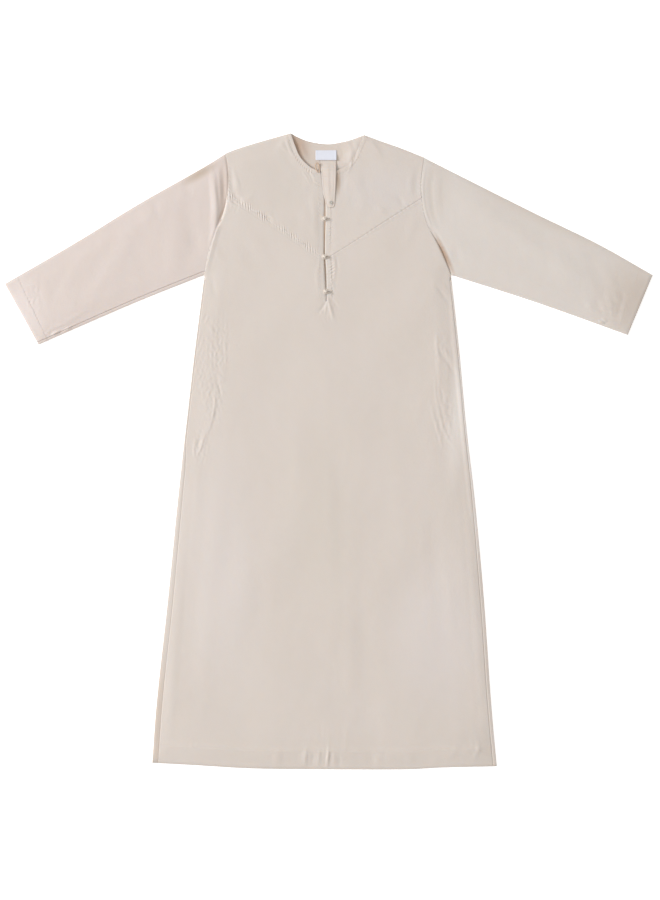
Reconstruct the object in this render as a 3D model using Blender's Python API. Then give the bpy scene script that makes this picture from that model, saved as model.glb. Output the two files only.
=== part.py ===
"""A thobe robe laid flat on its back: a long collarless robe of light cotton, with a V yoke seam.

The back rests on the floor at z = 0. The front lies on it, with the sleeves straight out to both sides,
+Y towards the neck and +X towards the robe's own left hand. Every length below is in millimetres, and
the meshes are written in metres. Each panel is a thin closed wall through a grid of points, which comes
from the outline tables and from the height of the upper layer at each point.
"""

import math
from typing import Callable, NamedTuple, Optional

import bmesh
import bpy
from mathutils import Vector
from mathutils.bvhtree import BVHTree

# Driving sizes, in millimetres
MM = 0.001
CLOTH = 1.2
SEAM = 0.3
TRIM = 1.0
LAYERS = 2.0 * CLOTH + SEAM
FOLD_RADIUS = LAYERS / 2.0
FOLD_HOLLOW = FOLD_RADIUS + SEAM / 2.0
LOFT = 2.6
LOFT_REACH = 45.0
LOFT_LIMIT = 3.4
FOLD_ENDS = 0.4
HEM_DEPTH = 44.0
HEM_RISE = 0.5
HEM_STEP = 1.5
CUFF_DEPTH = 33.0
WRAP_TOP = 393.0
UNDERARM = 405.0
CHEST_HALF = 205.0
SLIT_FOOT = 345.0
PLACKET = 13.0
POCKET_SET = 30.0
BALL_RADIUS = 4.0
BALL_SEGMENTS = 12
BALL_RINGS = 8
LOOP_RADIUS = 0.9
LOOP_ROUND = 5.2
LOOP_REACH = 11.0
LOOP_SPREAD = 1.26
LOOP_OPENING = math.radians(35.0)
LOOP_STEPS = 10
SETTLING_PASSES = 8

# How the cloth under a trim is felt out: from this height, on these rings and at this many places on each
SKY = 200.0
PROBE_RINGS = (0.5, 1.0)
PROBE_PLACES = 12


class Spot(NamedTuple):
    """One point of an outline: x towards the robe's own left, y towards the neck."""

    x: float
    y: float


class Strip(NamedTuple):
    """How far the back shows on the front, beyond the side seam, at one level."""

    y: float
    left: float
    right: float


class Fold(NamedTuple):
    """One soft ridge, or a trough where its rise is below zero, between two spots."""

    name: str
    x_start: float
    y_start: float
    x_end: float
    y_end: float
    half_width: float
    rise: float


class TabRow(NamedTuple):
    """One level of the neck tab, with the lift of its free right edge."""

    y: float
    left: float
    right: float
    lift: float


class Bag(NamedTuple):
    """One level of a pocket bag: how far in from the middle line its inner edge lies."""

    y: float
    inner: float


# Outlines of the body, from the hem up and from the left to the right of the picture
SIDE_LEFT = (
    Spot(-407, -731), Spot(-395, -572), Spot(-370, -342), Spot(-347, -112),
    Spot(-328, 60), Spot(-308, 233), Spot(-286, UNDERARM),
)
SIDE_RIGHT = (
    Spot(387, -731), Spot(373, -572), Spot(357, -342), Spot(336, -112),
    Spot(316, 60), Spot(300, 233), Spot(281, UNDERARM),
)
ARMHOLE_LEFT = (
    Spot(-286, UNDERARM), Spot(-274, 467), Spot(-252, 521), Spot(-235, 578), Spot(-230, 635), Spot(-236, 685),
)
ARMHOLE_RIGHT = (
    Spot(281, UNDERARM), Spot(258, 463), Spot(228, 518), Spot(215, 569), Spot(212, 619), Spot(219, 675),
)
HEM_LINE = (
    Spot(-407, -716), Spot(-314, -721), Spot(-174, -729), Spot(3, -731), Spot(175, -731), Spot(258, -727),
    Spot(387, -724),
)
SHOULDER_LEFT = (Spot(-236, 685), Spot(-204, 697), Spot(-158, 711), Spot(-87, 731))
SHOULDER_RIGHT = (Spot(81, 727), Spot(118, 713), Spot(164, 697), Spot(219, 675))
NECK_BACK = (
    Spot(-87, 731), Spot(-71, 722), Spot(-45, 712), Spot(-3, 706), Spot(37, 712), Spot(60, 719),
    Spot(81, 727),
)
NECK_LEFT = (
    Spot(-87, 731), Spot(-79, 707), Spot(-66, 677), Spot(-45, 655), Spot(-32, 648), Spot(-19, 643),
)
NECK_RIGHT = (Spot(-2, 640), Spot(12, 643), Spot(39, 655), Spot(59, 677), Spot(72, 707), Spot(81, 727))
V_SEAM = (Spot(-240, 597), Spot(-10, 443), Spot(-4, 443), Spot(225, 591))
SLIT_LEFT = (
    Spot(-6.5, SLIT_FOOT), Spot(-9, 382), Spot(-12, 451), Spot(-12, 534), Spot(-11, 587), Spot(-14, 615),
    Spot(-19, 643),
)
SLIT_RIGHT = (
    Spot(-4, SLIT_FOOT), Spot(-4, 375), Spot(-5, 417), Spot(-8, 463), Spot(-6, 534), Spot(-6, 580),
    Spot(-2, 640),
)
SLEEVE_LEFT_TOP = (Spot(-236, 685), Spot(-296, 648), Spot(-434, 570), Spot(-586, 477), Spot(-744.5, 385))
SLEEVE_LEFT_FOOT = (Spot(-286, UNDERARM), Spot(-446, 341), Spot(-667, 245))
SLEEVE_RIGHT_TOP = (Spot(219, 675), Spot(274, 647), Spot(465, 551), Spot(617, 477), Spot(744.5, 405))
SLEEVE_RIGHT_FOOT = (Spot(281, UNDERARM), Spot(474, 343), Spot(687, 267))

SIDE_STRIPS = (
    Strip(-731, 14.0, 8.5),
    Strip(-300, 13.0, 8.5),
    Strip(100, 11.0, 8.0),
    Strip(WRAP_TOP, 4.0, 4.0),
)

FOLDS = (
    Fold("left sleeve head", -264, 655, -259, 520, 11, 1.0),
    Fold("left sleeve hollow", -246, 640, -243, 545, 8, -0.9),
    Fold("right sleeve head", 227, 600, 246, 500, 9, 0.9),
    Fold("right sleeve hollow", 240, 640, 236, 560, 12, -0.8),
    Fold("left sleeve drag", -330, 560, -300, 440, 26, -0.7),
    Fold("left cuff crumple", -630, 290, -585, 300, 14, 0.9),
    Fold("right cuff drag", 610, 330, 680, 300, 16, -0.5),
    Fold("right sleeve length", 330, 560, 560, 420, 30, 0.7),
    Fold("left pocket top", -266, 302, -239, 267, 9, 0.9),
    Fold("left pocket edge", -239, 267, -241, 165, 9, 0.9),
    Fold("left pocket lower edge", -250, 145, -289, 19, 9, 0.8),
    Fold("right pocket edge", 249, 267, 256, 129, 9, 0.9),
    Fold("right pocket lower edge", 256, 129, 290, 15, 9, 0.8),
    Fold("right pocket drag", 256, 230, 297, 168, 8, -0.9),
    Fold("right underarm drag", 249, 378, 277, 341, 9, -0.8),
    Fold("opening foot ridge", -2, 345, 12, 300, 9, 0.8),
    Fold("left skirt fall", -330, -80, -372, -640, 22, 0.8),
    Fold("right skirt fall", 318, -60, 362, -660, 18, 0.8),
    Fold("middle skirt fall", 70, -250, 95, -700, 40, -0.6),
)

TAB_ROWS = (
    TabRow(667, -18.5, 17, 0.4),
    TabRow(655, -18, 17, 2.2),
    TabRow(640, -17, 17, 3.8),
    TabRow(624, -15.7, 16.5, 4.5),
    TabRow(608, -14, 16, 4.0),
    TabRow(592, -12.4, 15, 2.6),
    TabRow(578, -9, 14.3, 0.8),
    TabRow(567, -6.5, 13.8, 0.2),
    TabRow(563, -4.6, 12.6, 0.1),
    TabRow(561, -1.5, 10.5, 0.0),
)
TAB_SHARES = (0.0, 0.18, 0.4, 0.62, 0.82, 1.0)
TAB_CREASE = 0.6
TAB_CURVE = 1.5
TAB_DESCENT = 0.3

LABEL_LOW = Spot(-30, 669)
LABEL_HIGH = Spot(18, 692)
LABEL_CURL = 0.5
LABEL_ROWS = 3
LABEL_COLUMNS = 6

BALL_SPOTS = (Spot(-10, 534), Spot(-10, 447), Spot(-7, 367))
NECK_LOOP = (
    Spot(-26, 639), Spot(-29.5, 648), Spot(-31, 656), Spot(-28, 664), Spot(-24.5, 660), Spot(-23, 650),
    Spot(-22, 639),
)
TAB_BUTTON = Spot(5, 571)
TAB_BUTTON_RADIUS = 3.6
TAB_BUTTON_THICK = 1.8
TAB_BUTTON_TAPER = 0.85
TAB_BUTTON_SIDES = 16

BAG_LEFT = (
    Bag(300, 262), Bag(267, 239), Bag(220, 239), Bag(175, 241), Bag(130, 254), Bag(85, 264), Bag(40, 280),
    Bag(-5, 298),
)
BAG_RIGHT = (
    Bag(292, 254), Bag(267, 248), Bag(220, 248), Bag(175, 256), Bag(130, 257), Bag(85, 264), Bag(45, 274),
    Bag(10, 284),
)
BAG_SHARES = (0.0, 0.35, 0.7, 1.0)

# How each panel is shared out between its edges
FRONT_SHARES = (0.0, 0.05, 0.11, 0.18, 0.27, 0.37, 0.48, 0.6, 0.73, 0.87, 1.0)
SHOULDER_SHARES = (0.0, 0.22, 0.47, 0.73)
NECK_SHARES_LEFT = (0.0, 0.15, 0.38, 0.76, 1.0)
NECK_SHARES_RIGHT = (0.0, 0.13, 0.31, 0.6, 1.0)
BACK_SHARES = (0.0, 0.1, 0.22, 0.3275, 0.363, 0.42, 0.51, 0.6, 0.65, 0.6967, 0.79, 0.9, 1.0)
SKIRT_ROWS = 17
SLEEVE_STATIONS = (0.0, 0.05, 0.11, 0.18, 0.26, 0.35, 0.45, 0.55, 0.65, 0.75, 0.85)

BEIGE = (0.70, 0.64, 0.57)
LABEL_WHITE = (0.80, 0.82, 0.88)
BUTTON_PEARL = (0.74, 0.70, 0.64)
CLOTH_ROUGHNESS = 0.75


def mix(low: float, high: float, share: float) -> float:
    """Return the value a share of the way from low to high."""
    return low + (high - low) * share


def ease(value: float) -> float:
    """Return a soft step from 0 to 1."""
    held = min(max(value, 0.0), 1.0)
    return held * held * (3.0 - 2.0 * held)


def read(keys: list, values: list, at: float) -> float:
    """Return the straight-line reading of a table at one key, held at its ends."""
    if at <= keys[0]:
        return values[0]
    for index in range(1, len(keys)):
        if at <= keys[index]:
            share = (at - keys[index - 1]) / (keys[index] - keys[index - 1])
            return mix(values[index - 1], values[index], share)
    return values[-1]


def level_of(spots: tuple, x: float) -> float:
    """Return the y of an outline that runs from left to right, at one x."""
    return read([spot.x for spot in spots], [spot.y for spot in spots], x)


def reach_of(spots: tuple, y: float) -> float:
    """Return the x of an outline that runs upwards, at one y."""
    return read([spot.y for spot in spots], [spot.x for spot in spots], y)


def body_left(y: float) -> float:
    """Return the body's left edge at one level."""
    return reach_of(SIDE_LEFT if y < UNDERARM else ARMHOLE_LEFT, y)


def body_right(y: float) -> float:
    """Return the body's right edge at one level."""
    return reach_of(SIDE_RIGHT if y < UNDERARM else ARMHOLE_RIGHT, y)


def strip_width(y: float, side: str) -> float:
    """Return how wide the back shows on the front at one level."""
    return read([row.y for row in SIDE_STRIPS], [getattr(row, side) for row in SIDE_STRIPS], y)


def top_line(x: float) -> float:
    """Return the upper edge of the back: both shoulders and the neck between them."""
    if x < NECK_BACK[0].x:
        return level_of(SHOULDER_LEFT, x)
    if x > NECK_BACK[-1].x:
        return level_of(SHOULDER_RIGHT, x)
    return level_of(NECK_BACK, x)


def outline() -> list:
    """Return the whole garment's edge as one closed run of spots."""
    run = list(HEM_LINE)
    run += SIDE_RIGHT[1:]
    run += SLEEVE_RIGHT_FOOT[1:]
    run += reversed(SLEEVE_RIGHT_TOP)
    run += list(reversed(SHOULDER_RIGHT))[1:]
    run += list(reversed(NECK_BACK))[1:]
    run += list(reversed(SHOULDER_LEFT))[1:]
    run += SLEEVE_LEFT_TOP[1:]
    run += reversed(SLEEVE_LEFT_FOOT)
    run += list(reversed(SIDE_LEFT))[1:-1]
    return run


OUTLINE = outline()


def near_on(x: float, y: float, start: Spot, end: Spot) -> tuple:
    """Return the distance from a point to a stretch, and the share of the stretch where it is nearest."""
    run_x = end.x - start.x
    run_y = end.y - start.y
    share = ((x - start.x) * run_x + (y - start.y) * run_y) / max(run_x * run_x + run_y * run_y, SEAM)
    share = min(max(share, 0.0), 1.0)
    return math.hypot(x - start.x - share * run_x, y - start.y - share * run_y), share


def from_edge(x: float, y: float) -> float:
    """Return how far a point lies from the garment's edge."""
    ends = OUTLINE[1:] + OUTLINE[:1]
    return min(near_on(x, y, start, end)[0] for start, end in zip(OUTLINE, ends))


def loft(x: float, y: float) -> float:
    """Return how far the upper layer is lifted off the lower one, beyond the seam gap."""
    height = LOFT
    for fold in FOLDS:
        start = Spot(fold.x_start, fold.y_start)
        end = Spot(fold.x_end, fold.y_end)
        distance, share = near_on(x, y, start, end)
        across = ease(1.0 - distance / fold.half_width)
        height += fold.rise * across * mix(FOLD_ENDS, 1.0, math.sin(math.pi * share))
    return min(height, LOFT_LIMIT) * ease(from_edge(x, y) / LOFT_REACH)


def upper_inside(x: float, y: float) -> float:
    """Return the height of the upper layer's underside."""
    return CLOTH + SEAM + loft(x, y)


def front_left(y: float) -> float:
    """Return the left edge of the front's cloth, at the side seam or the armhole."""
    if y <= WRAP_TOP:
        return body_left(y) + strip_width(y, "left") + SEAM
    return body_left(y) + SEAM / 2.0


def front_right(y: float) -> float:
    """Return the right edge of the front's cloth, at the side seam or the armhole."""
    if y <= WRAP_TOP:
        return body_right(y) - strip_width(y, "right") - SEAM
    return body_right(y) - SEAM / 2.0


def slit_left(y: float) -> float:
    """Return the left edge of the opening."""
    return reach_of(SLIT_LEFT, y)


def slit_right(y: float) -> float:
    """Return the right edge of the opening."""
    return reach_of(SLIT_RIGHT, y)


def shared(low: Callable, high: Callable, share: float) -> Callable:
    """Return the line a share of the way between two lines."""
    return lambda at: mix(low(at), high(at), share)


def flat_line(value: float) -> Callable:
    """Return a level line at one height."""
    return lambda at: value


def left_columns() -> list:
    """Return the column lines of the left half of the front, up to the opening."""
    def band_edge(y: float) -> float:
        return slit_left(y) - PLACKET
    columns = [shared(front_left, band_edge, share) for share in FRONT_SHARES]
    return columns + [slit_left]


def right_columns() -> list:
    """Return the column lines of the right half of the front, from the opening outwards."""
    def band_edge(y: float) -> float:
        return slit_right(y) + PLACKET
    columns = [shared(band_edge, front_right, 1.0 - share) for share in reversed(FRONT_SHARES)]
    return [slit_right] + columns


def hem_level(x: float) -> float:
    """Return the foot edge."""
    return level_of(HEM_LINE, x)


def skirt_levels() -> list:
    """Return the level lines from the foot edge up to the top of the side strips."""
    def hem_stitch(x: float) -> float:
        return hem_level(x) + HEM_DEPTH

    def above_hem(x: float) -> float:
        return hem_level(x) + HEM_DEPTH + HEM_STEP
    levels = [hem_level, shared(hem_level, hem_stitch, 0.5), hem_stitch]
    foot = flat_line(SLIT_FOOT)
    levels += [shared(above_hem, foot, row / SKIRT_ROWS) for row in range(SKIRT_ROWS + 1)]
    return levels + [flat_line(WRAP_TOP), flat_line(UNDERARM)]


def cross_share(x: float) -> float:
    """Return how far across the chest a point lies, from 0 by the left armhole to 1 by the right."""
    return min(max((x + CHEST_HALF) / (2.0 * CHEST_HALF), 0.0), 1.0)


def armhole_levels(low: Callable, high: Callable, stops: list) -> list:
    """Return level lines between two lines, which meet both armholes at the same stops.

    Args:
        low: the line below, as a function from x to y.
        high: the line above.
        stops: pairs of shares, for the left and the right armhole, lowest first.

    Returns:
        Two lines for each stop: one halfway up to it, and one at it.
    """
    levels = []
    before = (0.0, 0.0)
    for stop in stops:
        halfway = tuple(mix(one, other, 0.5) for one, other in zip(before, stop))
        for left_share, right_share in (halfway, stop):
            def line(x: float, left_share: float = left_share, right_share: float = right_share) -> float:
                share = mix(left_share, right_share, cross_share(x))
                return mix(low(x), high(x), share)
            levels.append(line)
        before = stop
    return levels


def stop_shares(low: Callable, high: Callable) -> list:
    """Return the shares between two lines at which the armhole tables have their spots."""
    def share_of(spot: Spot) -> float:
        return (spot.y - low(spot.x)) / (high(spot.x) - low(spot.x))
    left = [share_of(spot) for spot in ARMHOLE_LEFT if low(spot.x) + SEAM < spot.y < high(spot.x) - SEAM]
    right = [share_of(spot) for spot in ARMHOLE_RIGHT if low(spot.x) + SEAM < spot.y < high(spot.x) - SEAM]
    return list(zip(left, right)) + [(1.0, 1.0)]


def lay_grid(columns: list, levels: list) -> list:
    """Return the crossing of each level line with each column line, as rows of spots."""
    grid = []
    for level in levels:
        row = []
        for column in columns:
            x = column(0.0)
            y = level(x)
            for _ in range(SETTLING_PASSES):
                x = column(y)
                y = level(x)
            row.append(Spot(x, y))
        grid.append(row)
    return grid


def new_piece(name: str, mesh_maker: bmesh.types.BMesh, colour: tuple) -> bpy.types.Object:
    """Make one object with its own material from a finished mesh."""
    bmesh.ops.recalc_face_normals(mesh_maker, faces=mesh_maker.faces)
    mesh = bpy.data.meshes.new(name)
    mesh_maker.to_mesh(mesh)
    mesh_maker.free()
    piece = bpy.data.objects.new(name, mesh)
    bpy.context.scene.collection.objects.link(piece)
    material = bpy.data.materials.new(name + "_finish")
    material.use_nodes = True
    shader = material.node_tree.nodes["Principled BSDF"]
    shader.inputs["Base Color"].default_value = (*colour, 1.0)
    shader.inputs["Roughness"].default_value = CLOTH_ROUGHNESS
    mesh.materials.append(material)
    return piece


def wall(
    name: str, outer: list, inner: list, present: Optional[Callable] = None, ring: bool = False,
    colour: tuple = BEIGE,
) -> bpy.types.Object:
    """Make one closed wall between two grids of points with the same rows and columns.

    Args:
        name: the piece's name.
        outer: rows of (x, y, z) points on the side that faces out.
        inner: rows of points on the other side.
        present: says whether the cell at a row and a column is cloth. All are where it isn't given.
        ring: whether the last column joins the first.
        colour: the piece's colour.

    Returns:
        The new object.
    """
    maker = bmesh.new()
    made = {}
    rows = len(outer) - 1
    columns = len(outer[0]) - (0 if ring else 1)
    stride = len(outer[0])

    def is_cloth(row: int, column: int) -> bool:
        if ring:
            column %= columns
        if not (0 <= row < rows and 0 <= column < columns):
            return False
        return present is None or present(row, column)

    def vertex(face: int, row: int, column: int) -> bmesh.types.BMVert:
        key = (face, row, column % stride)
        if key not in made:
            grid = outer if face == 0 else inner
            made[key] = maker.verts.new(Vector(grid[row][column % stride]) * MM)
        return made[key]

    def quad(first: tuple, second: tuple, third: tuple, fourth: tuple) -> None:
        maker.faces.new([vertex(*first), vertex(*second), vertex(*third)])
        maker.faces.new([vertex(*first), vertex(*third), vertex(*fourth)])

    for row in range(rows):
        for column in range(columns):
            if not is_cloth(row, column):
                continue
            for face in (0, 1):
                low_left = (face, row, column)
                low_right = (face, row, column + 1)
                high_right = (face, row + 1, column + 1)
                high_left = (face, row + 1, column)
                quad(low_left, low_right, high_right, high_left)
            borders = (
                (row - 1, column, (row, column), (row, column + 1)),
                (row + 1, column, (row + 1, column), (row + 1, column + 1)),
                (row, column - 1, (row, column), (row + 1, column)),
                (row, column + 1, (row, column + 1), (row + 1, column + 1)),
            )
            for beside_row, beside_column, start, end in borders:
                if not is_cloth(beside_row, beside_column):
                    quad((0, *start), (0, *end), (1, *end), (1, *start))
    return new_piece(name, maker, colour)


def raised(grid: list, height: Callable) -> list:
    """Return the grid's spots as points at the height that a function gives."""
    return [[(spot.x, spot.y, height(spot.x, spot.y)) for spot in row] for row in grid]


def moved_up(points: list, rise: float) -> list:
    """Return rows of points, all moved up by the same amount."""
    return [[(x, y, z + rise) for x, y, z in row] for row in points]


def hem_outside(x: float, y: float) -> float:
    """Return the height of the front's outer face, thicker where the hem is turned."""
    rise = HEM_RISE if y <= hem_level(x) + HEM_DEPTH + SEAM else 0.0
    return upper_inside(x, y) + CLOTH + rise


def make_front() -> tuple:
    """Make the front below the V seam, and return it with its outer points and its opening's first row."""
    def v_line(x: float) -> float:
        return level_of(V_SEAM, x)
    levels = skirt_levels()
    foot_row = len(levels) - 3
    underarm = flat_line(UNDERARM)
    levels += armhole_levels(underarm, v_line, stop_shares(underarm, v_line))
    left = left_columns()
    grid = lay_grid(left + right_columns(), levels)
    inner = raised(grid, upper_inside)
    outer = raised(grid, hem_outside)
    slit_column = len(left) - 1

    def present(row: int, column: int) -> bool:
        return column != slit_column or row < foot_row
    panel = wall("front_panel", outer, inner, present)
    return panel, outer, foot_row, slit_column


def make_yoke(name: str, is_left: bool) -> tuple:
    """Make the front yoke on one side of the opening, and return it with its outer points."""
    def v_line(x: float) -> float:
        return level_of(V_SEAM, x) + SEAM

    def upper_line(x: float) -> float:
        if is_left:
            return level_of(SHOULDER_LEFT, x) if x < NECK_LEFT[0].x else level_of(NECK_LEFT, x)
        return level_of(SHOULDER_RIGHT, x) if x > NECK_RIGHT[-1].x else level_of(NECK_RIGHT, x)

    def band_edge(y: float) -> float:
        return slit_left(y) - PLACKET if is_left else slit_right(y) + PLACKET
    levels = [v_line] + armhole_levels(v_line, upper_line, stop_shares(v_line, upper_line))
    if is_left:
        neck_point = flat_line(NECK_LEFT[0].x)
        columns = [shared(front_left, neck_point, share) for share in SHOULDER_SHARES]
        columns += [shared(neck_point, band_edge, share) for share in NECK_SHARES_LEFT]
        columns.append(slit_left)
    else:
        neck_point = flat_line(NECK_RIGHT[-1].x)
        columns = [slit_right]
        columns += [shared(neck_point, band_edge, share) for share in reversed(NECK_SHARES_RIGHT)]
        columns += [shared(front_right, neck_point, share) for share in reversed(SHOULDER_SHARES)]
    inner = raised(lay_grid(columns, levels), upper_inside)
    outer = moved_up(inner, CLOTH)
    return wall(name, outer, inner), outer


def make_back() -> bpy.types.Object:
    """Make the back: flat on the floor, with its sides turned forward over both side folds."""
    def back_left(y: float) -> float:
        return body_left(y) + (FOLD_RADIUS if y <= WRAP_TOP else SEAM / 2.0)

    def back_right(y: float) -> float:
        return body_right(y) - (FOLD_RADIUS if y <= WRAP_TOP else SEAM / 2.0)

    def turned(y: float, edge: float, width: float, inwards: float) -> list:
        """Return the strip's edge, its bend and its outermost point, as pairs of outer and inner points."""
        rim = edge + inwards * width
        bend = edge + inwards * FOLD_RADIUS
        return [
            ((rim, y, upper_inside(rim, y) + CLOTH), (rim, y, upper_inside(rim, y))),
            ((bend, y, upper_inside(bend, y) + CLOTH), (bend, y, upper_inside(bend, y))),
            ((edge, y, FOLD_RADIUS), (edge + inwards * CLOTH, y, FOLD_RADIUS)),
        ]
    levels = skirt_levels()
    wrap_row = len(levels) - 2
    underarm = flat_line(UNDERARM)
    levels += armhole_levels(underarm, top_line, stop_shares(underarm, top_line))
    columns = [shared(back_left, back_right, share) for share in BACK_SHARES]
    outer = []
    inner = []
    for row in lay_grid(columns, levels):
        left_y = row[0].y
        right_y = row[-1].y
        left = turned(left_y, body_left(left_y), strip_width(left_y, "left"), 1.0)
        right = turned(right_y, body_right(right_y), strip_width(right_y, "right"), -1.0)
        flat = [((spot.x, spot.y, 0.0), (spot.x, spot.y, CLOTH)) for spot in row]
        pairs = left + flat + right[::-1]
        outer.append([pair[0] for pair in pairs])
        inner.append([pair[1] for pair in pairs])
    turned_cells = len(left)

    def present(row: int, column: int) -> bool:
        return row < wrap_row or turned_cells <= column < turned_cells + len(BACK_SHARES) - 1
    return wall("back_panel", outer, inner, present)


def run_length(spots: tuple) -> float:
    """Return the length of a run of spots."""
    return sum(math.dist(start, end) for start, end in zip(spots, spots[1:]))


def point_along(spots: tuple, share: float) -> Vector:
    """Return the point a share of the way along a run of spots."""
    left_over = share * run_length(spots)
    for start, end in zip(spots, spots[1:]):
        stretch = math.dist(start, end)
        if left_over <= stretch:
            return Vector(start).lerp(Vector(end), left_over / stretch)
        left_over -= stretch
    return Vector(spots[-1])


def make_sleeve(name: str, top: tuple, foot: tuple, armhole: tuple, outwards: float) -> bpy.types.Object:
    """Make one sleeve: a flat tube from the armhole to the cuff.

    Args:
        name: the piece's name.
        top: the run of its upper fold, from the shoulder to the cuff.
        foot: the run of its lower fold, from the underarm to the cuff.
        armhole: the armhole's spots, from the underarm up.
        outwards: the sign of x from the body towards the cuff.

    Returns:
        The sleeve.
    """
    shoulder_y = armhole[-1].y
    stops = [(shoulder_y - spot.y) / (shoulder_y - UNDERARM) for spot in reversed(armhole)]
    across = []
    for before, after in zip(stops, stops[1:]):
        across += [mix(before, after, 0.5), after]
    across = across[:-1]
    top_length = run_length(top)
    foot_length = run_length(foot)
    stations = []
    cuff = CUFF_DEPTH + HEM_STEP
    for share in SLEEVE_STATIONS:
        stations.append((share * (1.0 - cuff / top_length), share * (1.0 - cuff / foot_length), 0.0))
    stations.append((1.0 - CUFF_DEPTH / top_length, 1.0 - CUFF_DEPTH / foot_length, HEM_RISE))
    stations.append((1.0, 1.0, HEM_RISE))
    chord_start = Vector(armhole[-1])
    chord_end = Vector(armhole[0])
    outer = []
    inner = []
    for top_share, foot_share, rise in stations:
        start = point_along(top, top_share)
        end = point_along(foot, foot_share)
        start.x += outwards * SEAM / 2.0
        end.x += outwards * SEAM / 2.0
        inward = (end - start).normalized()
        fade = (1.0 - top_share) ** 2

        def spot_at(share: float) -> Vector:
            chord = chord_start.lerp(chord_end, share)
            bow = (reach_of(armhole, chord.y) - chord.x) * fade
            return start.lerp(end, share) + Vector((bow, 0.0))

        def lower(spot: Vector) -> tuple:
            return (spot.x, spot.y, 0.0), (spot.x, spot.y, CLOTH)

        def upper(spot: Vector) -> tuple:
            inside = upper_inside(spot.x, spot.y)
            return (spot.x, spot.y, inside + CLOTH + rise), (spot.x, spot.y, inside)

        def bend(spot: Vector, direction: Vector) -> tuple:
            hollow = spot + direction * CLOTH
            return (spot.x, spot.y, FOLD_RADIUS), (hollow.x, hollow.y, FOLD_RADIUS)
        middle = [spot_at(share) for share in across]
        near_top = start + inward * FOLD_HOLLOW
        near_foot = end - inward * FOLD_HOLLOW
        pairs = [bend(start, inward), upper(near_top)]
        pairs += [upper(spot) for spot in middle]
        pairs += [upper(near_foot), bend(end, -inward), lower(near_foot)]
        pairs += [lower(spot) for spot in reversed(middle)]
        pairs.append(lower(near_top))
        outer.append([pair[0] for pair in pairs])
        inner.append([pair[1] for pair in pairs])
    return wall(name, outer, inner, ring=True)


def make_placket(
    name: str, front_outer: list, yoke_outer: list, foot_row: int, front_column: int, yoke_column: int
) -> bpy.types.Object:
    """Make the stitched band along one edge of the opening, from the panels' own points moved up.

    Args:
        name: the piece's name.
        front_outer: the front panel's outer points.
        yoke_outer: the yoke's outer points on the same side.
        foot_row: the front's row at the foot of the opening.
        front_column: the first of the two front columns that the band follows.
        yoke_column: the first of the two yoke columns that it follows.

    Returns:
        The band.
    """
    rows = [row[front_column:front_column + 2] for row in front_outer[foot_row:]]
    rows += [row[yoke_column:yoke_column + 2] for row in yoke_outer[1:]]
    inner = moved_up(rows, SEAM)
    return wall(name, moved_up(inner, TRIM), inner)


def make_bag(name: str, table: tuple, edge: Callable, inwards: float) -> bpy.types.Object:
    """Make one pocket bag, between the back and the front."""
    grid = []
    for bag in reversed(table):
        mouth = edge(bag.y) + inwards * POCKET_SET
        depth = -inwards * bag.inner
        grid.append([Spot(mix(mouth, depth, share), bag.y) for share in BAG_SHARES])
    inner = raised(grid, lambda x, y: CLOTH + SEAM)
    return wall(name, moved_up(inner, TRIM), inner)


class Ground:
    """The cloth that a trim lies on."""

    def __init__(self, pieces: list) -> None:
        """Keep a search tree for each piece."""
        self.trees = []
        for piece in pieces:
            corners = [vertex.co.copy() for vertex in piece.data.vertices]
            faces = [tuple(face.vertices) for face in piece.data.polygons]
            self.trees.append(BVHTree.FromPolygons(corners, faces))

    def under(self, x: float, y: float) -> float:
        """Return the height of the highest cloth at one spot."""
        start = Vector((x, y, SKY)) * MM
        highest = 0.0
        for tree in self.trees:
            place = tree.ray_cast(start, Vector((0.0, 0.0, -1.0)))[0]
            if place is not None:
                highest = max(highest, place.z / MM)
        return highest

    def around(self, x: float, y: float, reach: float) -> float:
        """Return the height of the highest cloth within a reach of one spot."""
        highest = self.under(x, y)
        for ring in PROBE_RINGS:
            for place in range(PROBE_PLACES):
                angle = math.tau * place / PROBE_PLACES
                sample_x = x + reach * ring * math.cos(angle)
                highest = max(highest, self.under(sample_x, y + reach * ring * math.sin(angle)))
        return highest


def make_cord(name: str, path: list, radius: float, sides: int = 6) -> bpy.types.Object:
    """Make a round cord with closed ends along a path of points."""
    maker = bmesh.new()
    points = [Vector(point) for point in path]
    rings = []
    for index, point in enumerate(points):
        before = points[max(index - 1, 0)]
        after = points[min(index + 1, len(points) - 1)]
        ahead = (after - before).normalized()
        aside = ahead.cross(Vector((0.0, 0.0, 1.0))).normalized()
        above = aside.cross(ahead)
        turns = [math.tau * side / sides for side in range(sides)]
        corners = [point + (aside * math.cos(turn) + above * math.sin(turn)) * radius for turn in turns]
        rings.append([maker.verts.new(corner * MM) for corner in corners])
    for ring, following in zip(rings, rings[1:]):
        for side in range(sides):
            beside = (side + 1) % sides
            maker.faces.new([ring[side], ring[beside], following[beside], following[side]])
    maker.faces.new(rings[0][::-1])
    maker.faces.new(rings[-1])
    return new_piece(name, maker, BEIGE)


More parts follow.
